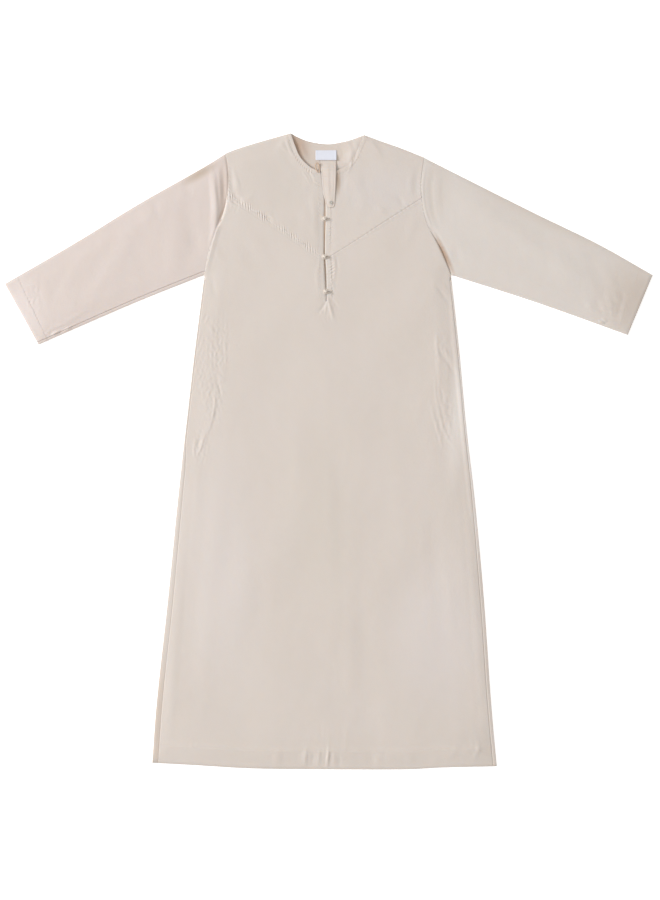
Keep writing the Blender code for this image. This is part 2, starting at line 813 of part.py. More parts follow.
def make_ball(name: str, spot: Spot, ground: Ground) -> None:
    """Make one knotted ball button on the opening's edge, and the cloth loop that catches it."""
    bed = ground.around(spot.x, spot.y, LOOP_ROUND + LOOP_RADIUS) + SEAM
    reach_bed = max(bed, ground.around(spot.x + LOOP_REACH, spot.y, LOOP_ROUND) + SEAM)
    maker = bmesh.new()
    bmesh.ops.create_uvsphere(
        maker, u_segments=BALL_SEGMENTS, v_segments=BALL_RINGS, radius=BALL_RADIUS * MM,
    )
    bmesh.ops.translate(maker, verts=maker.verts, vec=Vector((spot.x, spot.y, bed + BALL_RADIUS)) * MM)
    new_piece(name, maker, BUTTON_PEARL)
    height = reach_bed + LOOP_RADIUS
    path = [(spot.x + LOOP_REACH, spot.y + LOOP_SPREAD, height)]
    for step in range(LOOP_STEPS + 1):
        angle = mix(LOOP_OPENING, math.tau - LOOP_OPENING, step / LOOP_STEPS)
        path.append((spot.x + LOOP_ROUND * math.cos(angle), spot.y + LOOP_ROUND * math.sin(angle), height))
    path.append((spot.x + LOOP_REACH, spot.y - LOOP_SPREAD, height))
    make_cord(name.replace("ball_button", "button_loop"), path, LOOP_RADIUS)


def make_neck_loop(ground: Ground) -> bpy.types.Object:
    """Make the small cloth loop that stands out from the left front's neck corner."""
    height = max(ground.around(spot.x, spot.y, LOOP_RADIUS) for spot in NECK_LOOP) + SEAM + LOOP_RADIUS
    return make_cord("neck_loop", [(spot.x, spot.y, height) for spot in NECK_LOOP], LOOP_RADIUS)


def make_tab(ground: Ground) -> bpy.types.Object:
    """Make the neck tab, which lies over the opening and goes down behind the neckline at its top."""
    inner = []
    bed = 0.0
    below = TAB_ROWS[-1].y
    for row in reversed(TAB_ROWS):
        probes = [mix(row.left, row.right, share) for share in TAB_SHARES]
        highest = max(ground.around(x, row.y, PLACKET / 2.0) for x in probes)
        bed = max(highest, bed - TAB_DESCENT * (row.y - below))
        below = row.y
        points = []
        for share in TAB_SHARES:
            crease = TAB_CREASE * math.sin(math.pi * share) ** 2
            height = bed + SEAM + row.lift * share ** TAB_CURVE + crease
            points.append((mix(row.left, row.right, share), row.y, height))
        inner.append(points)
    return wall("neck_tab", moved_up(inner, TRIM), inner)


def make_tab_button(ground: Ground) -> None:
    """Make the flat button at the foot of the tab."""
    bed = ground.around(TAB_BUTTON.x, TAB_BUTTON.y, TAB_BUTTON_RADIUS) + SEAM
    maker = bmesh.new()
    bmesh.ops.create_cone(
        maker, cap_ends=True, segments=TAB_BUTTON_SIDES, radius1=TAB_BUTTON_RADIUS * MM,
        radius2=TAB_BUTTON_RADIUS * TAB_BUTTON_TAPER * MM, depth=TAB_BUTTON_THICK * MM,
    )
    centre = Vector((TAB_BUTTON.x, TAB_BUTTON.y, bed + TAB_BUTTON_THICK / 2.0)) * MM
    bmesh.ops.translate(maker, verts=maker.verts, vec=centre)
    new_piece("tab_button", maker, BUTTON_PEARL)


def make_label() -> None:
    """Make the bare label on the inside of the back neck, with a lower edge that curls up a little."""
    across = [mix(LABEL_LOW.x, LABEL_HIGH.x, column / LABEL_COLUMNS) for column in range(LABEL_COLUMNS + 1)]
    inner = []
    for row in range(LABEL_ROWS + 1):
        y = mix(LABEL_LOW.y, LABEL_HIGH.y, row / LABEL_ROWS)
        lift = LABEL_CURL * ease(1.0 - row / LABEL_ROWS)
        inner.append([(x, y, CLOTH + SEAM + lift) for x in across])
    wall("neck_label", moved_up(inner, TRIM), inner, colour=LABEL_WHITE)


def clear_scene() -> None:
    """Remove whatever objects the scene holds."""
    for piece in list(bpy.data.objects):
        bpy.data.objects.remove(piece, do_unlink=True)


def build() -> None:
    """Make every piece of the robe, from the floor up."""
    clear_scene()
    back = make_back()
    make_bag("pocket_bag_left", BAG_LEFT, body_left, 1.0)
    make_bag("pocket_bag_right", BAG_RIGHT, body_right, -1.0)
    make_sleeve("sleeve_left", SLEEVE_LEFT_TOP, SLEEVE_LEFT_FOOT, ARMHOLE_LEFT, -1.0)
    make_sleeve("sleeve_right", SLEEVE_RIGHT_TOP, SLEEVE_RIGHT_FOOT, ARMHOLE_RIGHT, 1.0)
    front, front_outer, foot_row, slit_column = make_front()
    left_yoke, left_outer = make_yoke("yoke_left", True)
    right_yoke, right_outer = make_yoke("yoke_right", False)
    last_cell = len(left_outer[0]) - 2
    left_band = make_placket("placket_left", front_outer, left_outer, foot_row, slit_column - 1, last_cell)
    right_band = make_placket("placket_right", front_outer, right_outer, foot_row, slit_column + 1, 0)
    make_label()
    ground = Ground([back, front, left_yoke, right_yoke, left_band, right_band])
    for number, spot in enumerate(BALL_SPOTS, start=1):
        make_ball(f"ball_button_{number}", spot, ground)
    loop = make_neck_loop(ground)
    tab = make_tab(Ground([back, front, left_yoke, right_yoke, left_band, right_band, loop]))
    make_tab_button(Ground([tab]))


build()
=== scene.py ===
"""The looks of a thobe robe laid flat: thin cotton shells with their creases, seams, buttons and stitching.

Lengths in the tables are millimetres in the robe's own frame: +X to the right of the picture, +Y towards
the neck and +Z up from the floor that the back rests on. Meshes are written in metres.
"""

import logging
import math
from dataclasses import dataclass, field, replace
from enum import Enum
from functools import cached_property
from typing import Callable, Iterable, Optional, Sequence

import bmesh
import bpy
import numpy as np
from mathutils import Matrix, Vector


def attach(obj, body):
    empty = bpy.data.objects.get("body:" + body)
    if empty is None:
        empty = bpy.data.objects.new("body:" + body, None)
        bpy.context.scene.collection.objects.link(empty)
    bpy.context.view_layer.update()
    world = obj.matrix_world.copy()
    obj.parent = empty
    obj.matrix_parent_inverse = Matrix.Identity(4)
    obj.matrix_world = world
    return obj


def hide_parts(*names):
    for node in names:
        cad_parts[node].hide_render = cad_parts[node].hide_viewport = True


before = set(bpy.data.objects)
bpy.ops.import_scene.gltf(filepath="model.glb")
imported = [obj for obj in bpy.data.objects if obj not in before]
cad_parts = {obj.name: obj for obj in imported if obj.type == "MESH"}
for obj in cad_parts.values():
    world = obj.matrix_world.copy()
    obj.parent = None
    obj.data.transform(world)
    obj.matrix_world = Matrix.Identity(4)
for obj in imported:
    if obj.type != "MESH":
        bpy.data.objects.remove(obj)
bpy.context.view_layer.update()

LOG = logging.getLogger("thobe_robe")

MM = 0.001
CLOTH = 1.2
SEAM = 0.3
SHELL = 0.8
LAYERS = 2.0 * CLOTH + SEAM
FOLD_RADIUS = LAYERS / 2.0
LOFT = 2.6
LOFT_REACH = 45.0
NECK_REACH = 14.0
HEM_DEPTH = 44.0
HEM_RISE = 0.5
CUFF_DEPTH = 33.0
WRAP_TOP = 393.0
UNDERARM = 405.0
SLIT_FOOT = 345.0
PLACKET = 13.0
ROUNDING = 12
SETTLING_PASSES = 12
FOLD_STEPS = 7
CREASE_GAIN = 1.5
HEM_GAIN = 1.5
TUCK = 1.3
TUCK_DEPTH = 12.0
TUCK_SLOPE = 8.0

# Where the loft ends sooner because the outline is the neck: from this level up and this far from the middle
NECK_LEVEL = 625.0
NECK_LEVEL_SLOPE = 25.0
NECK_HALF = 130.0
NECK_HALF_SLOPE = 30.0
LEAST_LOFT = 0.3
RIM_LOFT = 0.35
RIM_REACH = 6.0

# The underside: its usual and its highest lift, and how far from the outline the lift starts
FLOOR_LIFT = 0.22
FLOOR_WAVE = 0.2
FLOOR_LIFT_LIMIT = 1.1
FLOOR_REACH = 14.0

Spots = tuple[tuple[float, float], ...]
Surface = Callable[[np.ndarray, np.ndarray], np.ndarray]


def blend(low: np.ndarray, high: np.ndarray, share: np.ndarray) -> np.ndarray:
    """Return the value a share of the way from low to high."""
    return low + (high - low) * share


def ease(value: np.ndarray) -> np.ndarray:
    """Return a soft step from 0 to 1."""
    held = np.clip(value, 0.0, 1.0)
    return held * held * (3.0 - 2.0 * held)


class Run:
    """A line through given spots, rounded between them."""

    def __init__(self, spots: Spots, rounded: bool = True) -> None:
        """Work out the line's points.

        Args:
            spots: the spots that the line passes through, in millimetres.
            rounded: whether it bends softly from spot to spot.
        """
        placed = np.array(spots, float)
        if rounded and len(placed) > 2:
            ends = np.vstack([2.0 * placed[0] - placed[1], placed, 2.0 * placed[-1] - placed[-2]])
            share = np.linspace(0.0, 1.0, ROUNDING, endpoint=False)[:, None]
            parts = []
            for index in range(len(placed) - 1):
                before, start, end, after = ends[index:index + 4]
                bend = (2.0 * before - 5.0 * start + 4.0 * end - after) * share ** 2
                twist = (3.0 * start - before - 3.0 * end + after) * share ** 3
                parts.append(0.5 * (2.0 * start + (end - before) * share + bend + twist))
            placed = np.vstack(parts + [placed[-1:]])
        self.points = placed
        steps = np.hypot(*np.diff(placed, axis=0).T)
        self.reach = np.concatenate([[0.0], np.cumsum(steps)])

    @property
    def length(self) -> float:
        """Return the line's length."""
        return float(self.reach[-1])

    def y_at(self, x: np.ndarray) -> np.ndarray:
        """Return the line's y at each x, where it runs from left to right."""
        return np.interp(x, self.points[:, 0], self.points[:, 1])

    def x_at(self, y: np.ndarray) -> np.ndarray:
        """Return the line's x at each y, where it runs upwards."""
        return np.interp(y, self.points[:, 1], self.points[:, 0])

    def at(self, distance: np.ndarray) -> np.ndarray:
        """Return the points at given distances along the line, one row each."""
        x = np.interp(distance, self.reach, self.points[:, 0])
        y = np.interp(distance, self.reach, self.points[:, 1])
        return np.stack([x, y], axis=-1)

    def ahead(self, distance: np.ndarray) -> np.ndarray:
        """Return the unit direction of the line at given distances."""
        nudge = 1.0
        step = self.at(np.asarray(distance) + nudge) - self.at(np.asarray(distance) - nudge)
        return step / np.maximum(np.hypot(step[..., 0], step[..., 1]), 1e-9)[..., None]

    def close_to(self, x: np.ndarray, y: np.ndarray, margin: float) -> np.ndarray:
        """Return which points lie in the line's box, widened by a margin."""
        low_x, low_y = self.points.min(axis=0) - margin
        high_x, high_y = self.points.max(axis=0) + margin
        return (x > low_x) & (x < high_x) & (y > low_y) & (y < high_y)

    def near(self, x: np.ndarray, y: np.ndarray) -> tuple[np.ndarray, np.ndarray, np.ndarray]:
        """Find the nearest place on the line to each point.

        Args:
            x: the points' x.
            y: their y.

        Returns:
            The distance, the way along the line, and the side: 1 to the left of its run, -1 to the right.
        """
        best = np.full(np.shape(x), np.inf)
        along = np.zeros(np.shape(x))
        side = np.ones(np.shape(x))
        for index, (start, end) in enumerate(zip(self.points, self.points[1:])):
            run = end - start
            size = max(float(run @ run), 1e-9)
            share = np.clip(((x - start[0]) * run[0] + (y - start[1]) * run[1]) / size, 0.0, 1.0)
            away_x = x - start[0] - share * run[0]
            away_y = y - start[1] - share * run[1]
            distance = np.hypot(away_x, away_y)
            closer = distance < best
            best = np.where(closer, distance, best)
            along = np.where(closer, self.reach[index] + share * math.sqrt(size), along)
            turn = run[0] * away_y - run[1] * away_x
            side = np.where(closer, np.where(turn >= 0.0, 1.0, -1.0), side)
        return best, along, side


SIDE_LEFT = Run((
    (-407, -731), (-395, -572), (-370, -342), (-347, -112), (-328, 60), (-308, 233), (-286, 405),
))
SIDE_RIGHT = Run(((387, -731), (373, -572), (357, -342), (336, -112), (316, 60), (300, 233), (281, 405)))
ARMHOLE_LEFT = Run(((-286, 405), (-274, 467), (-252, 521), (-235, 578), (-230, 635), (-236, 685)))
ARMHOLE_RIGHT = Run(((281, 405), (258, 463), (228, 518), (215, 569), (212, 619), (219, 675)))
HEM_LINE = Run(((-407, -716), (-314, -721), (-174, -729), (3, -731), (175, -731), (258, -727), (387, -724)))
SHOULDER_LEFT = Run(((-236, 685), (-204, 697), (-158, 711), (-87, 731)))
SHOULDER_RIGHT = Run(((81, 727), (118, 713), (164, 697), (219, 675)))
NECK_BACK = Run(((-87, 731), (-71, 722), (-45, 712), (-3, 706), (37, 712), (60, 719), (81, 727)))
NECK_LEFT = Run(((-87, 731), (-79, 707), (-66, 677), (-45, 655), (-32, 648), (-19, 643)))
NECK_RIGHT = Run(((-2, 640), (12, 643), (39, 655), (59, 677), (72, 707), (81, 727)))
V_LEFT = Run(((-240, 596), (-214, 579), (-170, 551), (-124, 521), (-82, 493), (-40, 464), (-10, 444)))
V_RIGHT = Run(((-4, 443), (43, 472), (86, 500), (126, 526), (156, 545), (225, 589)))
SLIT_LEFT = Run(((-6.5, 345), (-9, 382), (-12, 451), (-12, 534), (-11, 587), (-14, 615), (-19, 643)))
SLIT_RIGHT = Run(((-4, 345), (-4, 375), (-5, 417), (-8, 463), (-6, 534), (-6, 580), (-2, 640)))
SLEEVE_LEFT_TOP = Run(((-236, 685), (-296, 648), (-434, 570), (-586, 477), (-744.5, 385)))
SLEEVE_LEFT_FOOT = Run(((-286, 405), (-446, 341), (-667, 245)))
SLEEVE_RIGHT_TOP = Run(((219, 675), (274, 647), (465, 551), (617, 477), (744.5, 405)))
SLEEVE_RIGHT_FOOT = Run(((281, 405), (474, 343), (687, 267)))
LEFT_NECK_POINT = -87.0
RIGHT_NECK_POINT = 81.0


def thinned(points: np.ndarray) -> np.ndarray:
    """Return every third point of a line, and its last one."""
    return np.vstack([points[:-1:3], points[-1:]])


OUTLINE = Run(tuple(map(tuple, np.vstack([thinned(points) for points in (
    HEM_LINE.points, SIDE_RIGHT.points[3:], SLEEVE_RIGHT_FOOT.points, SLEEVE_RIGHT_TOP.points[::-1],
    SHOULDER_RIGHT.points[::-1], NECK_BACK.points[::-1], SHOULDER_LEFT.points[::-1], SLEEVE_LEFT_TOP.points,
    SLEEVE_LEFT_FOOT.points[::-1], SIDE_LEFT.points[::-1][:-3],
)]))), rounded=False)


@dataclass(frozen=True)
class StripRow:
    """How far the back shows on the front, beyond the side seam, at one level."""

    y: float
    left: float
    right: float


STRIPS = (
    StripRow(-731, 14.0, 8.5),
    StripRow(-300, 12.5, 8.5),
    StripRow(-40, 10.0, 5.0),
    StripRow(20, 4.5, 4.5),
    StripRow(300, 4.0, 3.6),
    StripRow(WRAP_TOP, 4.0, 3.6),
)


def strip_width(y: np.ndarray, side: str) -> np.ndarray:
    """Return how wide the back shows on the front on one side at each level."""
    return np.interp(y, [row.y for row in STRIPS], [getattr(row, side) for row in STRIPS])


def left_edge(y: np.ndarray) -> np.ndarray:
    """Return the body's left edge at each level."""
    return np.where(y < UNDERARM, SIDE_LEFT.x_at(y), ARMHOLE_LEFT.x_at(y))


def right_edge(y: np.ndarray) -> np.ndarray:
    """Return the body's right edge at each level."""
    return np.where(y < UNDERARM, SIDE_RIGHT.x_at(y), ARMHOLE_RIGHT.x_at(y))


def front_left(y: np.ndarray) -> np.ndarray:
    """Return the left edge of the front's cloth."""
    inset = blend(strip_width(y, "left") + SEAM, SEAM / 2.0, ease((y - WRAP_TOP) / (UNDERARM - WRAP_TOP)))
    return left_edge(y) + inset


def front_right(y: np.ndarray) -> np.ndarray:
    """Return the right edge of the front's cloth."""
    inset = blend(strip_width(y, "right") + SEAM, SEAM / 2.0, ease((y - WRAP_TOP) / (UNDERARM - WRAP_TOP)))
    return right_edge(y) - inset


def v_line(x: np.ndarray) -> np.ndarray:
    """Return the V seam's level at each x."""
    return np.where(x < -7.0, V_LEFT.y_at(x), V_RIGHT.y_at(x))


def shoulder_line(x: np.ndarray) -> np.ndarray:
    """Return the back's upper edge at each x: both shoulders and the neck between them."""
    middle = NECK_BACK.y_at(x)
    outside = np.where(x < 0.0, SHOULDER_LEFT.y_at(x), SHOULDER_RIGHT.y_at(x))
    return np.where((x < LEFT_NECK_POINT) | (x > RIGHT_NECK_POINT), outside, middle)


@dataclass(frozen=True)
class Crease:
    """One soft ridge through spots, or a trough where its rise is below zero.

    A lopsided crease is steeper on its right: lean is how much of its width lies on that side.
    """

    spots: Spots
    half_width: float
    rise: float
    lean: float = 0.5
    blunt: float = 0.35

    @cached_property
    def run(self) -> Run:
        """Return the crease's line."""
        return Run(self.spots)

    def height(self, x: np.ndarray, y: np.ndarray) -> np.ndarray:
        """Return the crease's height at each point."""
        run = self.run
        close = run.close_to(x, y, 2.0 * self.half_width)
        distance, along, side = run.near(x[close], y[close])
        width = self.half_width * np.where(side > 0.0, 2.0 * (1.0 - self.lean), 2.0 * self.lean)
        across = ease(1.0 - distance / width)
        lengthwise = self.blunt + (1.0 - self.blunt) * np.sin(math.pi * along / run.length)
        height = np.zeros(np.shape(x))
        height[close] = self.rise * across * lengthwise
        return height


# The folds that the solids have too
MAIN_FOLDS = (
    Crease(((-330, 560), (-300, 440)), 26, -0.4),
    Crease(((-630, 290), (-585, 300)), 14, 0.6),
    Crease(((610, 330), (680, 300)), 16, -0.2),
    Crease(((330, 560), (560, 420)), 30, 0.5),
    Crease(((-266, 302), (-239, 267)), 9, 0.3),
    Crease(((-239, 267), (-241, 165)), 9, 0.35),
    Crease(((-250, 145), (-289, 19)), 9, 0.3),
    Crease(((249, 267), (256, 129)), 9, 0.35),
    Crease(((256, 129), (290, 15)), 9, 0.3),
    Crease(((256, 230), (297, 168)), 8, -0.3),
    Crease(((249, 378), (277, 341)), 9, -0.3),
    Crease(((-2, 345), (12, 300)), 9, 0.5),
    Crease(((-330, -80), (-372, -640)), 22, 0.8),
    Crease(((318, -60), (362, -660)), 18, 0.8),
    Crease(((70, -250), (95, -700)), 40, -0.6),
)

# Left sleeve: the ridge and hollow by the armhole, wedges off the shoulder fold, and drags towards the cuff
LEFT_SLEEVE_CREASES = (
    Crease(((-266, 640), (-262, 600), (-259, 560), (-262, 505)), 12, 1.5, lean=0.62),
    Crease(((-244, 650), (-241, 605), (-242, 565), (-252, 522)), 10, -1.5),
    Crease(((-237, 574), (-246, 540), (-256, 516)), 5, -1.4),
    Crease(((-330, 616), (-318, 592)), 9, -0.8, blunt=0.5),
    Crease(((-322, 622), (-298, 636), (-276, 648)), 9, -0.9, blunt=0.6),
    Crease(((-348, 606), (-340, 580)), 8, 0.4),
    Crease(((-404, 580), (-391, 538)), 9, -0.8, blunt=0.6),
    Crease(((-428, 556), (-415, 520)), 9, 0.35),
    Crease(((-452, 540), (-440, 515)), 8, -0.35),
    Crease(((-485, 520), (-470, 488)), 9, 0.3),
    Crease(((-540, 486), (-528, 462)), 9, -0.3),
    Crease(((-262, 520), (-272, 475)), 8, 0.6),
    Crease(((-290, 520), (-330, 420)), 28, -0.4),
    Crease(((-340, 545), (-360, 430)), 32, 0.45),
    Crease(((-430, 545), (-500, 400)), 30, 0.4),
    Crease(((-490, 500), (-570, 350)), 26, -0.4),
    Crease(((-560, 460), (-620, 350)), 20, 0.35),
    Crease(((-655, 400), (-640, 320)), 16, 0.3),
    Crease(((-636, 282), (-612, 290), (-590, 286)), 5, 1.0),
    Crease(((-628, 270), (-604, 277)), 4, -0.9),
    Crease(((-650, 268), (-640, 278)), 4, 0.8),
    Crease(((-606, 278), (-595, 284)), 5, 3.5, blunt=0.8),
    Crease(((-633, 269), (-622, 274)), 5, 3.5, blunt=0.8),
    Crease(((-600, 300), (-560, 320)), 9, 0.6),
)

# Right sleeve: long soft folds that start at the armhole, a full middle, and drags by the cuff
RIGHT_SLEEVE_CREASES = (
    Crease(((224, 655), (217, 610), (221, 560), (234, 520)), 5, 0.3, lean=0.6),
    Crease(((242, 655), (235, 605), (240, 555), (254, 512)), 10, -0.35),
    Crease(((256, 640), (252, 590), (258, 540)), 12, 0.25, lean=0.6),
    Crease(((245, 656), (275, 635), (320, 610)), 12, -0.4),
    Crease(((300, 560), (430, 490), (560, 420), (640, 380)), 60, 1.1),
    Crease(((300, 470), (400, 420), (520, 370)), 44, 0.45),
    Crease(((290, 470), (300, 430)), 16, -0.35),
    Crease(((400, 520), (430, 440)), 30, -0.3),
    Crease(((520, 480), (545, 410)), 30, 0.3),
    Crease(((600, 440), (640, 350)), 20, -0.4),
    Crease(((640, 420), (664, 350)), 16, 0.4),
    Crease(((612, 338), (655, 318)), 10, 0.35),
    Crease(((600, 318), (640, 300)), 9, -0.35),
    Crease(((650, 380), (690, 340)), 14, -0.3),
    Crease(((619, 292), (628, 297), (638, 302)), 4, 4.5),
    Crease(((618, 286), (628, 290), (640, 295)), 3.5, -3.0),
    Crease(((596, 345), (604, 318)), 9, 0.6),
    Crease(((616, 352), (626, 312)), 8, -0.6),
    Crease(((640, 372), (652, 318)), 9, 0.6),
    Crease(((676, 356), (662, 300)), 10, -0.5),
    Crease(((640, 300), (668, 292)), 7, 0.6),
)

# Yokes: drags off the shoulders and round the neck, on both sides
YOKE_CREASES = (
    Crease(((-87, 724), (-79, 702), (-67, 677), (-48, 658), (-32, 649)), 6, 0.15, blunt=0.7),
    Crease(((-100, 690), (-88, 664), (-66, 642)), 14, -0.25),
    Crease(((-226, 655), (-222, 610), (-214, 580)), 9, -0.5),
    Crease(((-216, 640), (-206, 600)), 8, 0.4),
    Crease(((-214, 586), (-203, 575)), 10, -0.8, blunt=0.8),
    Crease(((-230, 582), (-222, 566)), 7, 0.5),
    Crease(((-190, 578), (-172, 590)), 10, 0.35),
    Crease(((-146, 543), (-134, 531)), 9, -0.7, blunt=0.8),
    Crease(((-110, 705), (-95, 690)), 9, 0.4),
    Crease(((-98, 722), (-92, 700), (-82, 680)), 5, 0.5),
    Crease(((-58, 640), (-50, 628), (-44, 616)), 4, 0.25),
    Crease(((-48, 643), (-40, 630), (-36, 618)), 4, -0.25),
    Crease(((-40, 640), (-32, 628)), 3.5, 0.25),
    Crease(((-40, 590), (-32, 545), (-34, 500)), 12, 0.3),
    Crease(((-70, 560), (-40, 520)), 20, 0.3),
    Crease(((60, 640), (70, 600), (80, 560)), 22, 0.35),
    Crease(((48, 690), (52, 660), (44, 640)), 5, 0.5),
    Crease(((60, 712), (64, 690), (58, 668)), 5, -0.5),
    Crease(((36, 636), (30, 600)), 12, -0.5),
    Crease(((208, 655), (202, 610), (206, 572)), 13, -0.35),
    Crease(((190, 640), (185, 590)), 12, 0.3),
    Crease(((100, 640), (150, 600)), 30, -0.3),
    Crease(((110, 560), (130, 548)), 10, 0.5),
    Crease(((160, 585), (172, 562)), 10, -0.4),
)

ARMHOLE_CREASES = (
    Crease(((-245, 545), (-257, 508), (-270, 464), (-282, 416)), 7, 0.75, lean=0.2, blunt=0.6),
    Crease(((238, 505), (256, 468), (279, 416)), 10, -0.7, lean=0.25, blunt=0.6),
    Crease(((283, 340), (290, 240), (302, 120), (315, -10), (330, -150)), 13, 1.5, lean=0.3, blunt=0.5),
    Crease(((297, 232), (300, 200), (303, 160)), 5, -0.5),
)

# Front below the V: drags from the opening's foot, the pockets and the underarms
FRONT_CREASES = (
    Crease(((-10, 646), (-9, 540), (-7, 440), (-5, 352)), 26, -0.6, blunt=0.8),
    Crease(((-2, 350), (6, 322), (9, 308)), 4, 0.8),
    Crease(((-8, 340), (-20, 322), (-28, 316)), 4, -0.7),
    Crease(((-4, 344), (-8, 318)), 3.5, 0.5),
    Crease(((4, 352), (22, 330)), 4, -0.5),
    Crease(((10, 452), (14, 420), (10, 380)), 4, 0.45),
    Crease(((18, 448), (22, 415)), 4, -0.4),
    Crease(((6, 400), (12, 372)), 4, 0.5),
    Crease(((-20, 450), (-26, 400), (-22, 360)), 7, 0.35),
    Crease(((-265, 302), (-250, 285), (-238, 272)), 5, -0.4),
    Crease(((-276, 292), (-262, 270)), 5, 0.5),
    Crease(((-284, 318), (-291, 306)), 3, 0.6),
    Crease(((-281, 312), (-288, 299)), 3, -0.6),
    Crease(((-278, 306), (-284, 294)), 3, 0.5),
    Crease(((-258, 252), (-252, 232), (-250, 215)), 4, 0.35),
    Crease(((-245, 245), (-240, 215), (-238, 180)), 4, -0.25),
    Crease(((-268, 222), (-252, 200), (-244, 184)), 4, 0.35),
    Crease(((-262, 205), (-250, 190)), 4, -0.35),
    Crease(((-258, 180), (-245, 168), (-240, 158)), 3.5, 0.7),
    Crease(((-256, 158), (-247, 130)), 4, -0.7),
    Crease(((-262, 160), (-261, 120), (-268, 70), (-280, 38)), 3.5, 0.45, lean=0.5),
    Crease(((-250, 140), (-256, 100), (-264, 62)), 6, -0.2),
    Crease(((-284, 40), (-292, 12), (-300, -8)), 4, 0.7),
    Crease(((-296, 30), (-302, 10)), 4, -0.6),
    Crease(((-306, 30), (-310, 6), (-306, -14)), 4, 0.7),
    Crease(((-296, 250), (-302, 232)), 4, -0.7),
    Crease(((-303, 205), (-310, 180)), 4, -0.7),
    Crease(((-306, 150), (-316, 128)), 4, -0.6),
    Crease(((-300, 175), (-290, 150)), 6, 0.4),
    Crease(((249, 270), (248, 240), (254, 212)), 6, 0.4),
    Crease(((256, 230), (275, 200), (297, 168)), 6, -0.3),
    Crease(((262, 240), (284, 208), (302, 186)), 6, 0.3),
    Crease(((232, 115), (242, 80), (262, 6)), 5, 0.35),
    Crease(((245, 172), (246, 128), (256, 83), (262, 56), (276, 27), (297, 0)), 5, 0.4),
    Crease(((258, 150), (262, 110)), 6, -0.4),
    Crease(((250, 378), (264, 358), (278, 342)), 6, -0.35),
    Crease(((262, 384), (276, 366)), 5, 0.5),
    Crease(((-270, 400), (-262, 360)), 9, -0.4),
    Crease(((-200, 480), (-170, 430)), 24, -0.4),
    Crease(((-262, 470), (-248, 440)), 12, 0.3),
    Crease(((200, 540), (180, 480)), 20, 0.4),
    Crease(((120, 480), (150, 440)), 18, 0.3),
)

# Skirt: long shallow falls, and the crumple above the foot hem
SKIRT_CREASES = (
    Crease(((-250, -60), (-275, -360), (-300, -640)), 34, 0.4),
    Crease(((-150, -120), (-165, -420)), 38, -0.35),
    Crease(((-60, 120), (-75, -260)), 40, 0.3),
    Crease(((20, 60), (30, -300), (22, -560)), 30, -0.3),
    Crease(((150, 100), (165, -260)), 42, 0.35),
    Crease(((230, -80), (262, -480)), 30, -0.35),
    Crease(((-170, -650), (-120, -640)), 12, 0.35),
    Crease(((-120, -662), (-60, -650)), 10, -0.35),
    Crease(((60, -660), (150, -648)), 14, 0.35),
    Crease(((300, -690), (348, -640)), 14, -0.6),
    Crease(((330, -716), (352, -668)), 9, 0.6),
    Crease(((270, -705), (300, -690)), 10, 0.4),
)

# Puckers that the foot hem's stitching draws up, from the left to the right
HEM_PUCKERS = (
    Crease(((-135, -664), (-120, -640), (-98, -622)), 8, 0.3),
    Crease(((-30, -668), (-14, -640)), 7, -0.3),
    Crease(((30, -670), (48, -636)), 9, 0.3),
    Crease(((96, -668), (124, -634)), 9, -0.3),
    Crease(((186, -664), (214, -630)), 9, 0.3),
    Crease(((-72, -728), (-70, -694)), 4, 0.6),
    Crease(((-38, -729), (-36, -694)), 4, -0.6),
    Crease(((12, -729), (13, -690)), 4, 0.7),
    Crease(((96, -729), (99, -696)), 5, -0.6),
    Crease(((140, -729), (142, -692)), 5, 0.6),
    Crease(((182, -728), (184, -694)), 5, 0.5),
    Crease(((-150, -726), (-149, -700)), 4, 0.8),
    Crease(((-119, -727), (-117, -690)), 5, 0.9),
    Crease(((-88, -728), (-86, -700)), 4, -0.6),
    Crease(((-56, -729), (-52, -688)), 5, 1.0),
    Crease(((-24, -729), (-22, -690)), 4, 0.8),
    Crease(((-4, -729), (0, -686)), 6, 1.0),
    Crease(((24, -729), (26, -700)), 4, -0.6),
    Crease(((52, -729), (50, -692)), 5, 0.8),
    Crease(((76, -729), (78, -700)), 4, 0.7),
    Crease(((118, -729), (116, -692)), 5, 0.8),
    Crease(((160, -729), (164, -690)), 6, 0.9),
    Crease(((206, -727), (204, -700)), 5, -0.5),
    Crease(((246, -725), (250, -696)), 6, 0.7),
)


@dataclass(frozen=True)
class Crumple:
    """A patch of small uneven wrinkles, as where a pocket's bulk lies under the cloth."""

    spot: tuple[float, float]
    reach: tuple[float, float]
    rise: float
    size: float
    turn: float = 0.0

    def height(self, x: np.ndarray, y: np.ndarray) -> np.ndarray:
        """Return the wrinkles' height at each point."""
        away_x = x - self.spot[0]
        away_y = y - self.spot[1]
        share = np.hypot(away_x / self.reach[0], away_y / self.reach[1])
        along = (away_x * math.cos(self.turn) + away_y * math.sin(self.turn)) / self.size
        across = (away_y * math.cos(self.turn) - away_x * math.sin(self.turn)) / (2.2 * self.size)
        first = np.sin(along + 1.9 * np.sin(across * 1.3 + 0.4) + 0.8 * np.sin(along * 0.37 + across))
        second = np.sin(0.61 * along - 1.4 * across + 1.6 * np.sin(0.8 * along + 1.0))
        return self.rise * ease(1.0 - share) * (0.7 * first + 0.6 * second * first + 0.3 * second)


